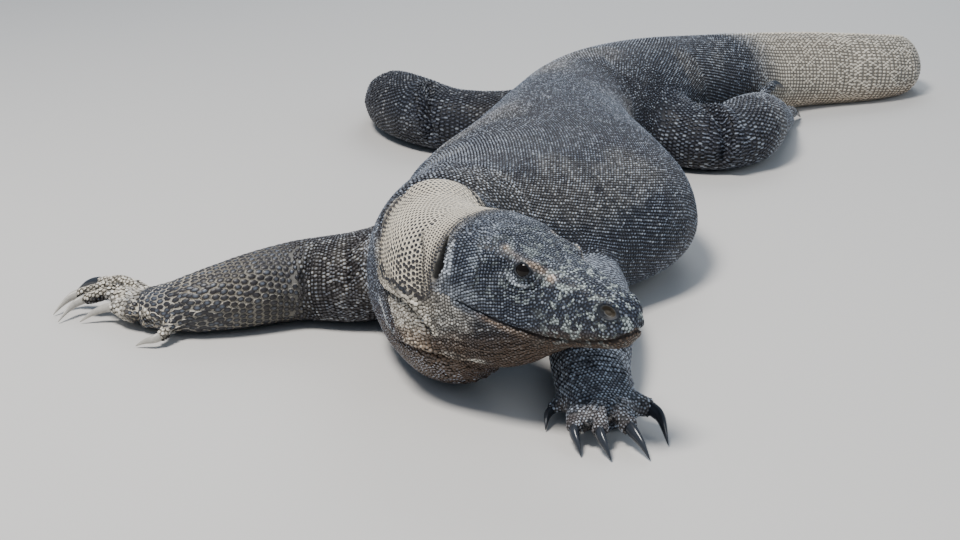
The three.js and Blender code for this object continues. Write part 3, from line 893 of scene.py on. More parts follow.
# Spacing of the scales in a row, in millimetres: for the body by the distance from the snout
# in metres, for each leg by the share of its length.
BODY_SPACING = [
    (0, 3.2), (0.09, 2.8), (0.19, 3.2), (NAPE - 0.03, 5.2), (NAPE + 0.05, 5.0), (SHOULDER - 0.05, 3.8),
    (CHEST, 3.9), (LOIN, 4.2), (TAIL_ROOT, 4.8), (TAIL_ROOT + 0.3, 5.8), (TAIL_FOLD, 5.6), (body.length, 3.4),
]
LEG_SPACING = {
    "foreleg_right": [(0.1, 3.6), (0.28, 3.8), (0.44, 6.6), (0.78, 6.2), (1, 4.6)],
    "foreleg_left": [(0.2, 3.8), (0.5, 3.7), (0.9, 3.4), (1, 3.4)],
    "hindleg_right": [(0.1, 5.4), (0.45, 6.2), (0.6, 5.0), (1, 4.2)],
    "hindleg_left": [(0.1, 5.6), (0.45, 6.4), (0.6, 4.6), (1, 4.0)],
}
THROAT_SHARE = 0.58       # size of the scales of the throat beside those on the back of the neck
THROAT_FROM = (0.16, 0.22)
TOE_SPACING = (4.4, 3.0, 3.8, 3.4)   # on the toes of each foot
FOLD_FINENESS = 0.22      # how much smaller the scales are beside the fold before the shoulder
FOLD_REACH = 22.0
BELLY_SPACING = 7.0


def spacing_at(anatomy):
    """The spacing of the scales at every point, in metres."""
    stations, sizes = zip(*BODY_SPACING)
    spacing = np.interp(anatomy.s, stations, sizes)
    throat = (1 - ramp(anatomy.s, NAPE, SHOULDER)) * ramp(-anatomy.head[:, 2], 10, 30)
    throat = throat * ramp(anatomy.s, *THROAT_FROM)
    spacing = spacing * (1 - throat * (1 - THROAT_SHARE))
    underneath = ramp(-np.cos(anatomy.angle), 0.75, 0.95) * ramp(anatomy.s, SHOULDER, CHEST)
    spacing = spacing + underneath * (BELLY_SPACING - spacing)
    share = share_along(anatomy)
    for index, name in zip(LEGS, legs):
        stations, sizes = zip(*LEG_SPACING[name])
        spacing = np.where(anatomy.line == index, np.interp(share, stations, sizes), spacing)
    spacing = np.where(anatomy.line > LEGS[-1], np.array(TOE_SPACING)[leg_of(anatomy)], spacing)
    return spacing * MM


def row_ratio(line, s):
    """Spacing of the rows beside the spacing in a row: wider on the tail and the right forearm."""
    tail = (line == BODY) * ramp(s, *TAIL_WIDENS)
    forearm = (line == LEGS[FORE_RIGHT]) * ramp(s, *FOREARM_WIDENS)
    return ROW_RATIO + tail * (TAIL_RATIO - ROW_RATIO) + forearm * (FOREARM_RATIO - ROW_RATIO)


class Surface:
    """The finished skin, ready for rays and nearest places."""

    def __init__(self, mesh):
        work = bmesh.new()
        work.from_mesh(mesh)
        bmesh.ops.triangulate(work, faces=work.faces)
        work.normal_update()
        self.tree = BVHTree.FromBMesh(work)
        self.corners = np.array([[v.index for v in f.verts] for f in work.faces])
        self.points = np.array([v.co for v in work.verts])
        self.normals = np.array([v.normal for v in work.verts])
        work.free()
        self.anatomy = Anatomy(self.points)
        self.owner = self.anatomy.line[self.corners[:, 0]]
        gap = gap_to(self.points, from_shoulders(FOLDS["shoulder"][0])) / MM
        self.spacing = spacing_at(self.anatomy) * (1 - FOLD_FINENESS * swell(gap, FOLD_REACH))
        rows = row_ratio(self.anatomy.line, self.anatomy.s) * self.anatomy.spread
        self.single_gap = self.spacing * SINGLE_GAP * np.maximum(1, rows / WIDE_ROWS)

    def nearest(self, place):
        found, _, face, _ = self.tree.find_nearest(Vector(place))
        return found, face

    def ray(self, start, way):
        place, _, face, gap = self.tree.ray_cast(Vector(start), Vector(way))
        return place, face, gap


def row_of_scales(surface, index, s, number, random):
    """One ring of scales round a line, spaced from the back down both sides."""
    line = lines[index]
    at, along, side, up, radius = (field[0] for field in line.frame(np.array([s])))
    angles = np.linspace(-math.pi, math.pi, RAYS + 1)
    ways = np.sin(angles)[:, None] * side + np.cos(angles)[:, None] * up
    gaps = np.full(len(angles), np.nan)
    faces = np.zeros(len(angles), int)
    for i, way in enumerate(ways):
        _, face, gap = surface.ray(at, way)
        if face is not None and surface.owner[face] == index and gap < REACH * radius:
            gaps[i] = gap
            faces[i] = face
    good = ~np.isnan(gaps)
    if good.sum() < FEWEST_RAYS:
        return []
    gaps = np.interp(angles, angles[good], gaps[good])
    faces = faces[np.abs(np.arange(len(angles))[:, None] - np.flatnonzero(good)[None]).argmin(1)]
    faces = np.where(good, faces, faces[0])
    places = at + ways * gaps[:, None]
    size = surface.spacing[surface.corners[faces, 0]]
    run = np.linalg.norm(np.diff(places, axis=0), axis=1) / ((size[1:] + size[:-1]) / 2)
    count = np.concatenate([[0], np.cumsum(run)])
    count -= np.interp(0, angles, count)
    shift = 0 if index == BODY and s > TAIL_ROOT else 0.5 * (number % 2)
    jitter = TAIL_JITTER if row_ratio(index, s) > 1 else ROW_JITTER
    wanted = np.arange(math.ceil(count[0] - shift), math.floor(count[-1] - shift)) + shift
    stray = random.uniform(-jitter, jitter, (len(wanted), 2))
    found = []
    for angle, (_, ahead) in zip(np.interp(wanted + stray[:, 0], count, angles), stray):
        if not good[int(round((angle + math.pi) / (2 * math.pi) * RAYS))]:
            continue
        way = math.sin(angle) * side + math.cos(angle) * up
        start = at + along * ahead * size.mean()
        place, face, gap = surface.ray(start, way)
        if face is None or surface.owner[face] != index or gap > REACH * radius:
            continue
        if abs(surface.normals[surface.corners[face, 0]] @ along) < STEEPEST:
            found.append((place, face))
    return found


ROW_START = {"body": 0.085, "leg": 0.05, "toe": 0.008}
SAMPLING = 7              # every which point of the skin is looked at for the rows' spacing


def tree_of(places):
    """The places, ready for finding the nearest."""
    tree = KDTree(len(places))
    for i, place in enumerate(places):
        tree.insert(place, i)
    tree.balance()
    return tree


def rows_along(surface, index, random):
    """Rows of scales along a whole line, closer together where the scales are small."""
    line = lines[index]
    kind = "body" if index == BODY else "leg" if index in LEGS else "toe"
    nearest = tree_of(surface.points[::SAMPLING])
    hits = [nearest.find(place)[1] for place in line.at + line.up * line.radius[:, None]]
    on_top = surface.spacing[::SAMPLING][hits]
    rows = []
    s = ROW_START[kind]
    while s < line.length:
        rows.append(s)
        s += np.interp(s, line.s, on_top) * row_ratio(index, s)
    return [
        found for number, s in enumerate(rows) for found in row_of_scales(surface, index, s, number, random)
    ]


def thinned(places, gaps):
    """Keeps places that are at least their gap from every place kept before."""
    cell = gaps.max()
    grid = {}
    chosen = []
    around = list(itertools.product((-1, 0, 1), repeat=3))
    keys = np.floor(places / cell).astype(int).tolist()
    limits = (gaps**2).tolist()
    for number, ((x, y, z), (a, b, c), limit) in enumerate(zip(places.tolist(), keys, limits)):
        near = [other for i, j, k in around for other in grid.get((a + i, b + j, c + k), ())]
        if all((ox - x) ** 2 + (oy - y) ** 2 + (oz - z) ** 2 >= limit for ox, oy, oz in near):
            chosen.append(number)
            grid.setdefault((a, b, c), []).append((x, y, z))
    return chosen


class Scales:
    """Places, directions and sizes of scales, one row of each array for one scale."""

    def __init__(self, surface, places, faces):
        self.place = np.array(places, float)
        corners = surface.corners[np.array(faces)]
        self.normal = unit(surface.normals[corners].mean(1))
        self.spacing = surface.spacing[corners].mean(1)
        self.anatomy = Anatomy(self.place)

    def holders(self):
        return [(self, ("place", "normal", "spacing")), (self.anatomy, tuple(vars(self.anatomy)))]

    def keep(self, chosen):
        for holder, keys in self.holders():
            for key in keys:
                setattr(holder, key, getattr(holder, key)[chosen])
        return self

    def join(self, other):
        for (holder, keys), (source, _) in zip(self.holders(), other.holders()):
            for key in keys:
                setattr(holder, key, np.concatenate([getattr(holder, key), getattr(source, key)]))
        return self


BARE = {"lids": 1.3, "ear": 1.25, "nostril": 1.35, "lips": 1.3}   # how far round each no scale lies
MOUTH_CORNER = 28


def bare(anatomy):
    """Places that carry no scale: the open eye, the ear and nostril pits and the lip line."""
    folded = mirrored(anatomy.head)
    span, distance = lid_span(folded)
    eye = (distance < RIM_NEAR * EYE_RADIUS) & (span < BARE["lids"])
    ear = ear_reach(folded) < BARE["ear"]
    nostril = nostril_reach(folded) < BARE["nostril"]
    lip = (lip_gap(folded) < BARE["lips"]) & (folded[:, 0] > MOUTH_CORNER)
    return (anatomy.line == BODY) & (folded[:, 0] > SCULPTED_FROM) & (eye | ear | nostril | lip)


CROWN_EDGE = ([0, 30, 60, 100, 150], [52, 46, 40, 26, 16])   # the crown's lower edge along the head
CROWN_FROM = 4
SNOUT_FROM = 96


def crown_of(anatomy):
    """The top of the head, which carries small plates in no order instead of rows."""
    folded = mirrored(anatomy.head)
    top = folded[:, 2] > np.interp(folded[:, 0], *CROWN_EDGE)
    snout = folded[:, 0] > SNOUT_FROM
    return (anatomy.line == BODY) & (folded[:, 0] > CROWN_FROM) & (top | snout)


RELAX_ROUNDS = 2
RELAX_NEAR = 7            # neighbours that a scale backs away from
RELAX_REACH = 1.05        # in spacings
RELAX_STEP = 0.35
ROW_EASE = 0.35           # how far scales of rows give way beside single ones


def relaxed(surface, scales, ease):
    """Moves scales a little away from their nearest neighbours, along the skin."""
    places = scales.place
    for _ in range(RELAX_ROUNDS):
        tree = tree_of(places)
        near = np.array([[found[1] for found in tree.find_n(place, RELAX_NEAR)] for place in places])
        apart = places[:, None] - places[near[:, 1:]]
        gap = np.linalg.norm(apart, axis=2)
        lack = np.clip(1 - gap / (RELAX_REACH * scales.spacing[:, None]), 0, 1)
        push = (apart / np.maximum(gap, 1e-9)[:, :, None] * lack[:, :, None]).sum(1)
        push -= (push * scales.normal).sum(1)[:, None] * scales.normal
        places = places + push * (RELAX_STEP * ease * scales.spacing)[:, None]
    found = [surface.nearest(place) for place in places]
    return Scales(surface, [tuple(place) for place, _ in found], [face for _, face in found])


def all_scales(surface):
    """The scales of the rows, then single ones wherever they leave room."""
    random = np.random.default_rng(SEED)
    found = [pair for index in range(len(lines)) for pair in rows_along(surface, index, random)]
    rows = Scales(surface, [tuple(place) for place, _ in found], [face for _, face in found])
    rows.keep(~bare(rows.anatomy) & ~crown_of(rows.anatomy))
    crowd = np.interp(rows.anatomy.spread, [SPREAD_LIMITS[0], 1], [CROWDED, 1]) * ROW_CROWD
    rows.keep(np.array(thinned(rows.place, rows.spacing * crowd)))

    corners = surface.points[surface.corners]
    first, second = corners[:, 1] - corners[:, 0], corners[:, 2] - corners[:, 0]
    area = np.linalg.norm(np.cross(first, second), axis=1) / 2
    share = area / surface.spacing[surface.corners].mean(1) ** 2
    tries = random.choice(len(share), int(share.sum() * SINGLE_TRIES), p=share / share.sum())
    weights = random.dirichlet((1, 1, 1), len(tries))
    places = (corners[tries] * weights[:, :, None]).sum(1)
    gap = surface.single_gap[surface.corners[tries]].mean(1)
    kept = tree_of(rows.place)
    far = np.array([kept.find(place)[2] for place in places]) > gap
    singles = Scales(surface, places[far], tries[far])
    chosen = ~bare(singles.anatomy)
    singles.keep(chosen)
    singles.keep(np.array(thinned(singles.place, gap[far][chosen])))
    ease = np.concatenate([np.full(len(rows.place), ROW_EASE), np.ones(len(singles.place))])
    scales = relaxed(surface, rows.join(singles), ease)
    return scales.keep(~bare(scales.anatomy))


#
# The two beads that scales are made of, and the nodes that set them on the skin.
#
BEAD_SIDES = 6
BEAD_SINK = -0.25        # height of the rim, under the skin
BEAD_SHOULDER = (0.68, 0.72)   # radius and height
BEAD_RIDGE = 0.4
DOME_RISE = 1.3          # how fast a scale's own height mask rises from its rim
TURN = 0.22              # how far a scale turns out of its row, in radians
BREADTH = 1.12           # breadth of the scales beside their spacing
PATCH = 0.003            # size of a scale's patch on the map for baking


def bead_mesh(name, fine):
    """A domed scale of unit radius: a closed bead with a top, or in its simple form a ridge."""
    work = bmesh.new()
    angles = [2 * math.pi * (i + 0.5) / BEAD_SIDES for i in range(BEAD_SIDES)]
    ring = [(math.cos(a), math.sin(a)) for a in angles]
    rim = [work.verts.new((x, y, BEAD_SINK)) for x, y in ring]
    work.faces.new(list(reversed(rim)))
    if fine:
        wide, high = BEAD_SHOULDER
        shoulder = [work.verts.new((wide * x, wide * y, high)) for x, y in ring]
        top = work.verts.new((0, 0, 1))
    else:
        front, back = work.verts.new((0, BEAD_RIDGE, 1)), work.verts.new((0, -BEAD_RIDGE, 1))
        near = [front if y > 0 else back for _, y in ring]
    for i in range(BEAD_SIDES):
        k = (i + 1) % BEAD_SIDES
        if fine:
            work.faces.new((rim[i], rim[k], shoulder[k], shoulder[i]))
            work.faces.new((shoulder[i], shoulder[k], top))
        elif near[i] is near[k]:
            work.faces.new((rim[i], rim[k], near[i]))
        else:
            work.faces.new((rim[i], rim[k], near[k], near[i]))
    bmesh.ops.triangulate(work, faces=work.faces)
    work.normal_update()
    mesh = mesh_from(work, name)
    points = coordinates(mesh)
    give(mesh, "local", "FLOAT_VECTOR", points)
    give(mesh, "dome", "FLOAT", np.clip((1 - np.linalg.norm(points[:, :2], axis=1)) * DOME_RISE, 0, 1))
    return mesh


def scale_tree(finish):
    """Sets a bead on every point, turned to the point's normal and lie, at the point's size."""
    tree = bpy.data.node_groups.new("set scales", "GeometryNodeTree")
    new_socket = tree.interface.new_socket
    new_socket("Geometry", in_out="INPUT", socket_type="NodeSocketGeometry")
    bead_input = new_socket("Bead", in_out="INPUT", socket_type="NodeSocketObject").identifier
    new_socket("Geometry", in_out="OUTPUT", socket_type="NodeSocketGeometry")

    def add(kind, links, **settings):
        """A node with its settings, its inputs linked or set as the table of links says."""
        node = tree.nodes.new(kind)
        for key, value in settings.items():
            setattr(node, key, value)
        for socket, source in links.items():
            if isinstance(source, bpy.types.NodeSocket):
                tree.links.new(source, node.inputs[socket])
            else:
                node.inputs[socket].default_value = source
        return node

    def named(attribute):
        node = add("GeometryNodeInputNamedAttribute", {"Name": attribute}, data_type="FLOAT_VECTOR")
        return node.outputs["Attribute"]

    start = add("NodeGroupInput", {})
    turned = add(
        "FunctionNodeAxesToRotation", {"Primary Axis": named("normal"), "Secondary Axis": named("lie")},
        primary_axis="Z", secondary_axis="Y",
    )
    jitter = add("FunctionNodeRandomValue", {2: -TURN, 3: TURN, "Seed": SEED}, data_type="FLOAT")
    spin = add("FunctionNodeAxisAngleToRotation", {"Axis": (0, 0, 1), "Angle": jitter.outputs[1]})
    both = add(
        "FunctionNodeRotateRotation", {"Rotation": turned.outputs[0], "Rotate By": spin.outputs[0]},
        rotation_space="LOCAL",
    )
    bead = add("GeometryNodeObjectInfo", {"Object": start.outputs["Bead"]})
    placed = add("GeometryNodeInstanceOnPoints", {
        "Points": start.outputs["Geometry"], "Instance": bead.outputs["Geometry"],
        "Rotation": both.outputs[0], "Scale": named("size"),
    })
    real = add("GeometryNodeRealizeInstances", {0: placed.outputs[0]})
    end = add("GeometryNodeSetMaterial", {"Geometry": real.outputs[0], "Material": finish})
    add("NodeGroupOutput", {0: end.outputs[0]})
    return tree, bead_input


def give(mesh, name, kind, values):
    """Stores values as a named attribute of the mesh's points."""
    field = {"FLOAT": "value", "FLOAT_VECTOR": "vector", "FLOAT_COLOR": "color"}[kind]
    attribute = mesh.attributes.new(name, kind, "POINT")
    attribute.data.foreach_set(field, np.asarray(values, np.float32).ravel())


def taken(mesh, name):
    """Reads a vector attribute of the mesh's points and removes it."""
    rows = fields(mesh.attributes[name].data, len(mesh.vertices), "vector", np.float32, 3)
    mesh.attributes.remove(mesh.attributes[name])
    return rows


def bake_places(anatomy):
    """Each scale's place on an unwrap of the skin: round the line, and along it."""
    round_line = (anatomy.angle + math.pi) / (2 * math.pi)
    toe = np.maximum(anatomy.line - LEGS[-1] - 1, 0) % TOES
    u = np.where(anatomy.line == BODY, round_line, round_line * 0.5)
    u = np.where(anatomy.line > LEGS[-1], 0.5 + (toe + round_line) / (2 * TOES), u)
    places = np.column_stack([u, share_along(anatomy), np.zeros(len(u))])
    return np.clip(places, 0, 1) * (1 - 2 * PATCH) + (PATCH, PATCH, 0)


RELIEF = {  # height of a scale beside its half spacing
    "body": 0.55, "crown": 0.30, "tail": 0.42, "belly": 0.2, "leg": 0.55, "toe": 0.5, "crest": 0.9,
}
NET_FLATTENS = 0.5
DOWNWARD = -0.8          # upward part of the normal below which a scale is the belly's
CREST_REACH = 0.0055     # half breadth of the double crest along the tail, in metres


def crest_of(anatomy):
    """The double row of raised scales along the top of the tail."""
    aside = np.abs(anatomy.angle) * anatomy.radius
    return (anatomy.line == BODY) & (anatomy.s > TAIL_WIDENS[1]) & (aside < CREST_REACH)


def relief_of(scales, net):
    """Height of every scale beside its half spacing; flatter where the net is."""
    anatomy = scales.anatomy
    on_body = anatomy.line == BODY
    relief = np.where(on_body, RELIEF["body"], RELIEF["leg"])
    relief = np.where(anatomy.line > LEGS[-1], RELIEF["toe"], relief)
    relief = np.where(on_body & (anatomy.s > TAIL_ROOT), RELIEF["tail"], relief)
    relief = np.where(crown_of(anatomy), RELIEF["crown"], relief)
    relief = relief * (1 - NET_FLATTENS * np.clip(net, 0, 1))
    relief = np.where(crest_of(anatomy), RELIEF["crest"], relief)
    return np.where(scales.normal[:, 2] < DOWNWARD, RELIEF["belly"], relief)


def stretch_of(anatomy):
    """Breadth and length of a scale beside its spacing: long on the cheeks, broad on the tail."""
    ahead, _, above = mirrored(anatomy.head).T
    cheek = (anatomy.line == BODY) * ramp(ahead, 22, 40) * (1 - ramp(ahead, 96, 104))
    cheek = cheek * (1 - ramp(above, 14, 26))
    rows = row_ratio(anatomy.line, anatomy.s) / ROW_RATIO * anatomy.spread
    tail = (anatomy.line == BODY) * ramp(anatomy.s, *TAIL_WIDENS)
    broad, long = [1 + a * cheek + b * tail for a, b in zip(CHEEK_STRETCH, TAIL_STRETCH)]
    return broad, long * rows


def coat_regions(anatomy):
    """The piece of the coat that each scale belongs to, by name."""
    stops = [
        0, 0.09, NAPE, SHOULDER - 0.04, CHEST + 0.02, (CHEST + LOIN) / 2 + 0.03, LOIN, TAIL_ROOT - 0.06,
        TAIL_ROOT + 0.26, TAIL_ROOT + 0.6, 9,
    ]
    names = ["snout", "head", "neck", "shoulders", "chest", "flanks", "loin"]
    names += ["tail_root", "tail_middle", "tail_end"]
    region = np.digitize(anatomy.s, stops) - 1
    region = np.where(anatomy.line == BODY, region, len(names) + leg_of(anatomy))
    return np.clip(region, 0, None), names + list(legs)


def mark(mesh, marks):
    """Stores the markings as attributes of the mesh's points."""
    give(mesh, "marks", "FLOAT_COLOR", marks[:, :4])
    give(mesh, "net", "FLOAT", marks[:, 4])
    give(mesh, "dust_and_sheen", "FLOAT", marks[:, 5])


FINE_REGIONS = ("snout", "head", "neck", "foreleg_right", "foreleg_left")
CALM = 0.6               # how much less the scales differ in tone under the painted sunlight on the tail
NET_SPREAD = (0.4, 0.25)   # how much the net widens the scales, and from which strength fully
UNEVEN = (0.06, 0.22)    # how much breadth and length vary, on the body and on the crown
HEIGHTS = (0.85, 1.15)


def coat(scales, beads, finish):
    """The scales as plain meshes, one for each region."""
    anatomy = scales.anatomy
    marks = markings(scales.place, anatomy)
    random = np.random.default_rng(SEED + 1)
    calm = 1 - CALM * (anatomy.line == BODY) * ramp(anatomy.s, *SUNLIT_TAIL_STARTS)
    tone = 0.5 + (random.random(len(scales.place)) - 0.5) * calm
    size = scales.spacing / 2
    stretch = np.array(stretch_of(anatomy)) * (1 + NET_SPREAD[0] * np.minimum(marks[:, 4], NET_SPREAD[1]))
    uneven = np.where(crown_of(anatomy), UNEVEN[1], UNEVEN[0])
    breadth, length = [
        size * part * BREADTH * (1 + uneven * random.uniform(-1, 1, len(size))) for part in stretch
    ]
    height = size * relief_of(scales, marks[:, 4]) * random.uniform(*HEIGHTS, len(size))
    vectors = {
        "normal": scales.normal, "lie": anatomy.along, "size": np.column_stack([breadth, length, height]),
        "bake": bake_places(anatomy),
    }
    tree, bead_input = scale_tree(finish)
    region, names = coat_regions(anatomy)
    made = []
    for number, name in enumerate(names):
        mine = region == number
        if not mine.any():
            continue
        dots = bpy.data.meshes.new(name)
        dots.vertices.add(int(mine.sum()))
        place_vertices(dots, scales.place[mine])
        for key, values in vectors.items():
            give(dots, key, "FLOAT_VECTOR", values[mine])
        mark(dots, marks[mine])
        give(dots, "tone", "FLOAT", tone[mine])
        holder = mesh_object("dots", dots)
        setter = holder.modifiers.new("scales", "NODES")
        setter.node_group = tree
        setter[bead_input] = beads[name in FINE_REGIONS]
        mesh = applied(holder)
        discard(holder)
        mesh.name = name
        map_for_baking(mesh)
        made.append(mesh_object("scales_" + name, smooth_shaded(mesh)))
    return made


def map_for_baking(mesh):
    """Gives each scale its small patch on the map named for baking."""
    spots = taken(mesh, "bake")[:, :2] + taken(mesh, "local")[:, :2] * PATCH / 2
    for name in ("normal", "lie", "size"):
        taken(mesh, name)
    while mesh.uv_layers:
        mesh.uv_layers.remove(mesh.uv_layers[0])
    layer = mesh.uv_layers.new(name="OFBake")
    corners = fields(mesh.loops, len(mesh.loops), "vertex_index", np.int32, 1).ravel()
    layer.data.foreach_set("uv", spots[corners].astype(np.float32).ravel())


#
# Materials. All read the object's own attributes and Object coordinates.
#
COLOURS = {
    # slate: partly painted skylight
    "ground": (0.014, 0.015, 0.018), "slate": (0.017, 0.027, 0.048), "brown": (0.105, 0.060, 0.030),
    # frost: partly painted skylight
    "cream": (0.82, 0.74, 0.60), "ochre": (0.62, 0.43, 0.27), "frost": (0.50, 0.59, 0.72),
    # gap: painted shade where the scales meet
    "tan": (0.055, 0.044, 0.025), "gap": (0.005, 0.005, 0.006),
    # dust: dust and a painted sheen on the scales' tops
    "lichen": (0.46, 0.52, 0.50), "dust_and_sheen": (0.40, 0.48, 0.61), "strand": (0.10, 0.10, 0.095),
    "horn": (0.56, 0.53, 0.47), "dark_horn": (0.035, 0.040, 0.050), "iris": (0.006, 0.004, 0.003),
}


class Shader:
    """A material with short names for the nodes that it uses."""

    def __init__(self, name):
        self.material = bpy.data.materials.new(name)
        self.material.use_nodes = True
        self.nodes = self.material.node_tree.nodes
        self.link = self.material.node_tree.links.new
        self.surface = self.nodes["Principled BSDF"]

    def attribute(self, name):
        node = self.nodes.new("ShaderNodeAttribute")
        node.attribute_name = name
        return node

    def put(self, socket, value):
        if isinstance(value, (int, float)):
            socket.default_value = value
        elif isinstance(value, tuple):
            socket.default_value = (*value, 1) if len(socket.default_value) == 4 else value
        else:
            self.link(value, socket)

    def math(self, kind, *values):
        node = self.nodes.new("ShaderNodeMath")
        node.operation = kind
        for socket, value in zip(node.inputs, values):
            self.put(socket, value)
        return node.outputs[0]

    def mix(self, share, a, b, kind="MIX"):
        node = self.nodes.new("ShaderNodeMix")
        node.data_type = "RGBA"
        node.blend_type = kind
        self.put(node.inputs[0], share)
        self.put(node.inputs[6], a)
        self.put(node.inputs[7], b)
        return node.outputs[2]

    def between(self, value, low, high, to_low=0.0, to_high=1.0):
        node = self.nodes.new("ShaderNodeMapRange")
        for socket, number in zip(node.inputs, (value, low, high, to_low, to_high)):
            self.put(socket, number)
        return node.outputs[0]

    def noise(self, size, detail=2.0):
        place = self.nodes.new("ShaderNodeTexCoord")
        node = self.nodes.new("ShaderNodeTexNoise")
        self.link(place.outputs["Object"], node.inputs["Vector"])
        node.inputs["Scale"].default_value = 1 / size
        node.inputs["Detail"].default_value = detail
        node.inputs["Roughness"].default_value = 0.55
        return node.outputs[0]

    def bump(self, height, strength, distance):
        node = self.nodes.new("ShaderNodeBump")
        node.inputs["Strength"].default_value = strength
        node.inputs["Distance"].default_value = distance
        self.link(height, node.inputs["Height"])
        self.link(node.outputs[0], self.surface.inputs["Normal"])

    def finish(self, **values):
        for name, value in values.items():
            self.put(self.surface.inputs[name.replace("_", " ")], value)
        return self.material


def marked_colour(shader, tone):
    """The ground colour of skin and scales from the masks, and the colour of a net's strands."""
    split = shader.nodes.new("ShaderNodeSeparateColor")
    marks = shader.attribute("marks")
    shader.link(marks.outputs["Color"], split.inputs[0])
    pale, warm, blue = split.outputs[0], split.outputs[1], split.outputs[2]
    flecks = marks.outputs["Alpha"]
    # The slate ground, partly painted skylight.
    ground = shader.mix(blue, COLOURS["ground"], COLOURS["slate"])
    ground = shader.mix(shader.math("MULTIPLY", warm, 0.8), ground, COLOURS["brown"])
    mottled = shader.math("SUBTRACT", shader.noise(0.012), 0.5)
    amount = shader.math("MULTIPLY", pale, shader.between(tone, 0.0, 1.0, 0.45, 1.3))
    amount = shader.math("ADD", amount, shader.between(tone, 0.80, 1.0, 0.0, 0.22))
    amount = shader.math("ADD", amount, shader.math("MULTIPLY", mottled, 0.3))
    # The slate mask turns the cream frost blue, partly painted skylight.
    cream = shader.mix(shader.math("MULTIPLY", blue, 0.75), COLOURS["cream"], COLOURS["frost"])
    cream = shader.mix(shader.between(warm, 0.3, 0.95, 0.0, 0.8), cream, COLOURS["ochre"])
    lit = shader.mix(shader.between(amount, 0.08, 0.95), ground, cream)
    lichen = shader.math("MULTIPLY", flecks, shader.between(shader.noise(0.0070, 3.0), 0.54, 0.58))
    strand = shader.mix(shader.between(warm, 0.5, 0.9), COLOURS["strand"], COLOURS["tan"])
    strand = shader.mix(pale, strand, cream)
    return shader.mix(shader.math("MULTIPLY", lichen, 0.9), lit, COLOURS["lichen"]), ground, strand


def scale_material():
    shader = Shader("scale")
    tone = shader.attribute("tone").outputs["Fac"]
    dome = shader.attribute("dome").outputs["Fac"]
    net = shader.attribute("net").outputs["Fac"]
    colour, ground, strand = marked_colour(shader, tone)
    # Dust and a painted sheen on the top of each scale, stronger on some scales at random.
    share = shader.math("MULTIPLY_ADD", shader.math("POWER", tone, 2.0), 1.75, 0.08)
    share = shader.math("MULTIPLY", share, shader.between(dome, 0.48, 0.92))
    share = shader.math("MULTIPLY", share, shader.attribute("dust_and_sheen").outputs["Fac"])
    colour = shader.mix(share, colour, COLOURS["dust_and_sheen"])
    # Painted shade round the rim of each scale, where it meets its neighbours.
    colour = shader.mix(shader.between(dome, 0.10, 0.46, 1.0, 0.0), colour, COLOURS["gap"])
    inner = shader.math("MULTIPLY_ADD", net, 0.56, -0.05)
    outer = shader.math("MULTIPLY_ADD", net, 0.66, 0.03)
    # Painted sheen on the dark middle of each netted scale.
    sheen = shader.math("MULTIPLY", share, 0.36)
    centre = shader.mix(sheen, ground, COLOURS["dust_and_sheen"])
    netted = shader.mix(shader.between(dome, inner, outer), strand, centre)
    colour = shader.mix(shader.between(net, 0.0, 0.25), colour, netted)
    shader.bump(shader.noise(0.0009, 2.0), 0.25, 0.0004)
    return shader.finish(Base_Color=colour, Roughness=0.42, Specular_IOR_Level=0.42)


def skin_material():
    shader = Shader("skin")
    net = shader.attribute("net").outputs["Fac"]
    colour, _, strand = marked_colour(shader, shader.noise(0.003))
    # Painted shade over the skin in the gaps between the scales.
    colour = shader.mix(0.72, colour, COLOURS["gap"])
    colour = shader.mix(shader.between(net, 0.0, 0.25, 0.0, 0.55), colour, strand)
    shader.bump(shader.noise(0.0014, 4.0), 0.5, 0.0006)
    return shader.finish(Base_Color=colour, Roughness=0.55, Specular_IOR_Level=0.4)


def horn_material(name, pale):
    shader = Shader(name)
    grain = shader.noise(0.004, 4.0)
    colour = COLOURS["horn"] if pale else COLOURS["dark_horn"]
    deeper = tuple(0.55 * value for value in colour)
    return shader.finish(Base_Color=shader.mix(grain, colour, deeper), Roughness=0.34 if pale else 0.22)


def eye_material():
    shader = Shader("eye")
    return shader.finish(Base_Color=COLOURS["iris"], Roughness=0.06, Specular_IOR_Level=0.22)


#
# The pieces.
#
SKIN_FACES = 180_000
CLAW_RINGS = 14
CLAW_ROUND = 12
CLAW_FLAT = 0.74         # breadth of a claw beside its root's girth
CLAW_HEIGHT = 1.04
CLAW_TAPER = ([0, 0.25, 0.6, 0.9, 1], [1.0, 0.92, 0.62, 0.24, 0.06])   # its girth along it
CLAW_EASE = 3            # rounds of smoothing of its path


def make_skin(mesh, finish):
    """The skin with its markings, thinned to fewer faces everywhere but on the head."""
    points = coordinates(mesh)
    anatomy = Anatomy(points)
    mark(mesh, markings(points, anatomy))
    made = mesh_object("skin", mesh)
    thin = made.vertex_groups.new(name="thin")
    plain = ~((anatomy.line == BODY) & (anatomy.head[:, 0] > WHOLE_FROM))
    thin.add(np.flatnonzero(plain).tolist(), 1.0, "REPLACE")
    fewer = made.modifiers.new("fewer faces", "DECIMATE")
    fewer.vertex_group = "thin"
    fewer.ratio = SKIN_FACES / (2 * len(mesh.polygons))
    lighter = applied(made)
    discard(made)
    lighter.name = "skin"
    lighter.materials.clear()
    lighter.materials.append(finish)
    return mesh_object("skin", lighter)


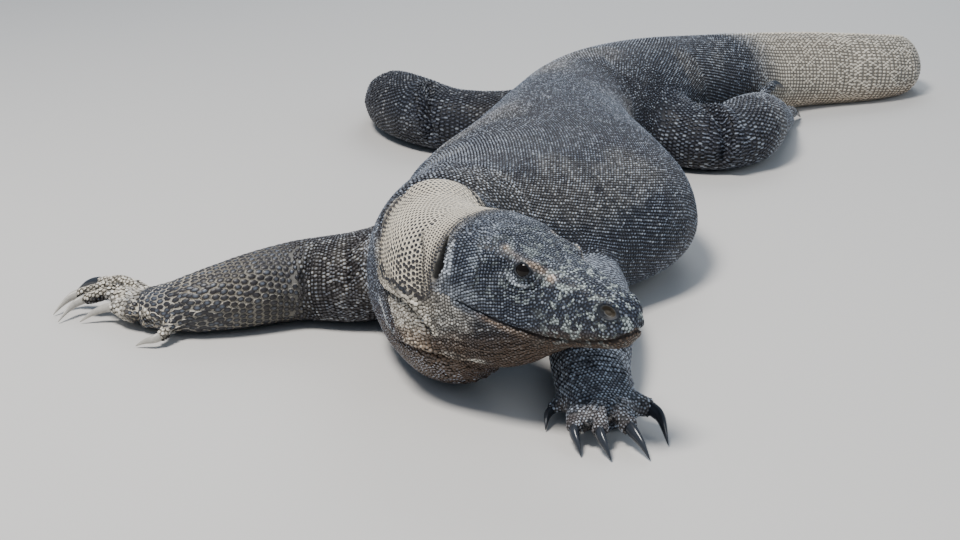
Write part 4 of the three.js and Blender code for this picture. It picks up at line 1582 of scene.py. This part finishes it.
def tube(name, middles, halves):
    """A closed swept claw: rings of the given half breadths and heights round a path."""
    work = bmesh.new()
    along = unit(np.gradient(middles, axis=0))
    side = unit(np.cross(along, UP))
    up = np.cross(side, along)
    section = [claw_section(2 * math.pi * i / CLAW_ROUND) for i in range(CLAW_ROUND)]
    rings = [
        [work.verts.new(at + across * wide * x + rise * high * z) for x, z in section]
        for at, across, rise, (wide, high) in zip(middles, side, up, halves)
    ]
    pairs = [(i, (i + 1) % CLAW_ROUND) for i in range(CLAW_ROUND)]
    for a, b in zip(rings, rings[1:]):
        for i, k in pairs:
            work.faces.new((a[i], a[k], b[k], b[i]))
    for ring, at in ((rings[0], middles[0]), (rings[-1], middles[-1])):
        pole = work.verts.new(at)
        for i, k in pairs:
            work.faces.new((ring[i], ring[k], pole))
    bmesh.ops.recalc_face_normals(work, faces=work.faces)
    return mesh_object(name, mesh_from(work, name))


def claw_section(angle):
    """Round above, hollow below, with a keel along the back."""
    x, z = math.sin(angle), math.cos(angle)
    return x * (1 - 0.18 * max(z, 0) ** 2), z * (1 + 0.10 * max(z, 0) ** 6) if z > 0 else z * 0.72


def make_claw(node, finish):
    middles, root = claw_rings(node)
    t = np.linspace(0, 1, CLAW_RINGS)
    knots = np.linspace(0, 1, len(middles))
    smooth = np.column_stack([np.interp(t, knots, middles[:, i]) for i in range(3)])
    for _ in range(CLAW_EASE):
        smooth[1:-1] = (smooth[:-2] + 2 * smooth[1:-1] + smooth[2:]) / 4
    girth = root * np.interp(t, *CLAW_TAPER)
    halves = np.column_stack([girth * CLAW_FLAT, girth * CLAW_HEIGHT])
    made = tube(node + "_horn", smooth, halves)
    made.data.materials.append(finish)
    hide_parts(node)
    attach(made, "root")


def make_eye(node, finish):
    work = bmesh.new()
    bmesh.ops.create_uvsphere(work, u_segments=32, v_segments=20, radius=EYE_RADIUS * MM)
    bmesh.ops.translate(work, verts=work.verts, vec=Vector(box_middle(node)))
    made = mesh_object(node + "_ball", mesh_from(work, node))
    made.data.materials.append(finish)
    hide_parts(node)
    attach(made, "root")


skin_mesh = shaped_skin()
surface = Surface(skin_mesh)
scales = all_scales(surface)
skin = make_skin(skin_mesh, skin_material())
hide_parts(*[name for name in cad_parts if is_flesh(name) and not name.startswith("eye")])
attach(skin, "root")

beads = {fine: mesh_object("bead", bead_mesh("bead", fine)) for fine in (True, False)}
for piece in coat(scales, beads, scale_material()):
    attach(piece, "root")
for bead in beads.values():
    discard(bead)

pale_horn, dark_horn = horn_material("pale_horn", True), horn_material("dark_horn", False)
for name in sorted(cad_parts):
    if "_claw_" in name:
        pale = name.startswith("foreleg_right") and not name.endswith("5")
        make_claw(name, pale_horn if pale else dark_horn)
wet = eye_material()
for name in ("eye_left", "eye_right"):
    make_eye(name, wet)

#
# Floor, light and camera.
#
CAMERA_PLACE = (0, -1680, 563)
CAMERA_PITCH = 17.5
LENS = 60
SENSOR = 36
LAMP_AIM = (0, 0, 0.1)


def floor():
    bpy.ops.mesh.primitive_plane_add(size=30)
    made = bpy.context.object
    made.name = "floor"
    made.data.materials.append(Shader("floor").finish(Base_Color=(0.62, 0.60, 0.57), Roughness=0.85))


def lamp(name, place, size, power, colour):
    """A soft lamp that shines on the middle of the animal."""
    light = bpy.data.lights.new(name, "AREA")
    light.size = size
    light.energy = power
    light.color = colour
    made = bpy.data.objects.new(name, light)
    bpy.context.scene.collection.objects.link(made)
    made.location = place
    made.rotation_euler = (Vector(LAMP_AIM) - Vector(place)).to_track_quat("-Z", "Y").to_euler()


floor()
lamp("key", (-1.2, -1.4, 3.2), 0.9, 165, (1.0, 0.97, 0.93))
lamp("fill", (2.6, -1.8, 1.6), 2.4, 26, (0.86, 0.93, 1.0))
lamp("rim", (0.6, 3.0, 2.4), 2.0, 55, (0.92, 0.96, 1.0))

world = bpy.data.worlds.new("studio")
world.use_nodes = True
background = world.node_tree.nodes["Background"]
background.inputs["Color"].default_value = (0.60, 0.76, 1.0, 1)
background.inputs["Strength"].default_value = 0.38
bpy.context.scene.world = world

camera = bpy.data.objects.new("camera", bpy.data.cameras.new("camera"))
bpy.context.scene.collection.objects.link(camera)
camera.data.lens = LENS
camera.data.sensor_width = SENSOR
camera.location = from_shoulders(CAMERA_PLACE)
camera.rotation_euler = (math.radians(90 - CAMERA_PITCH), 0, 0)
bpy.context.scene.camera = camera
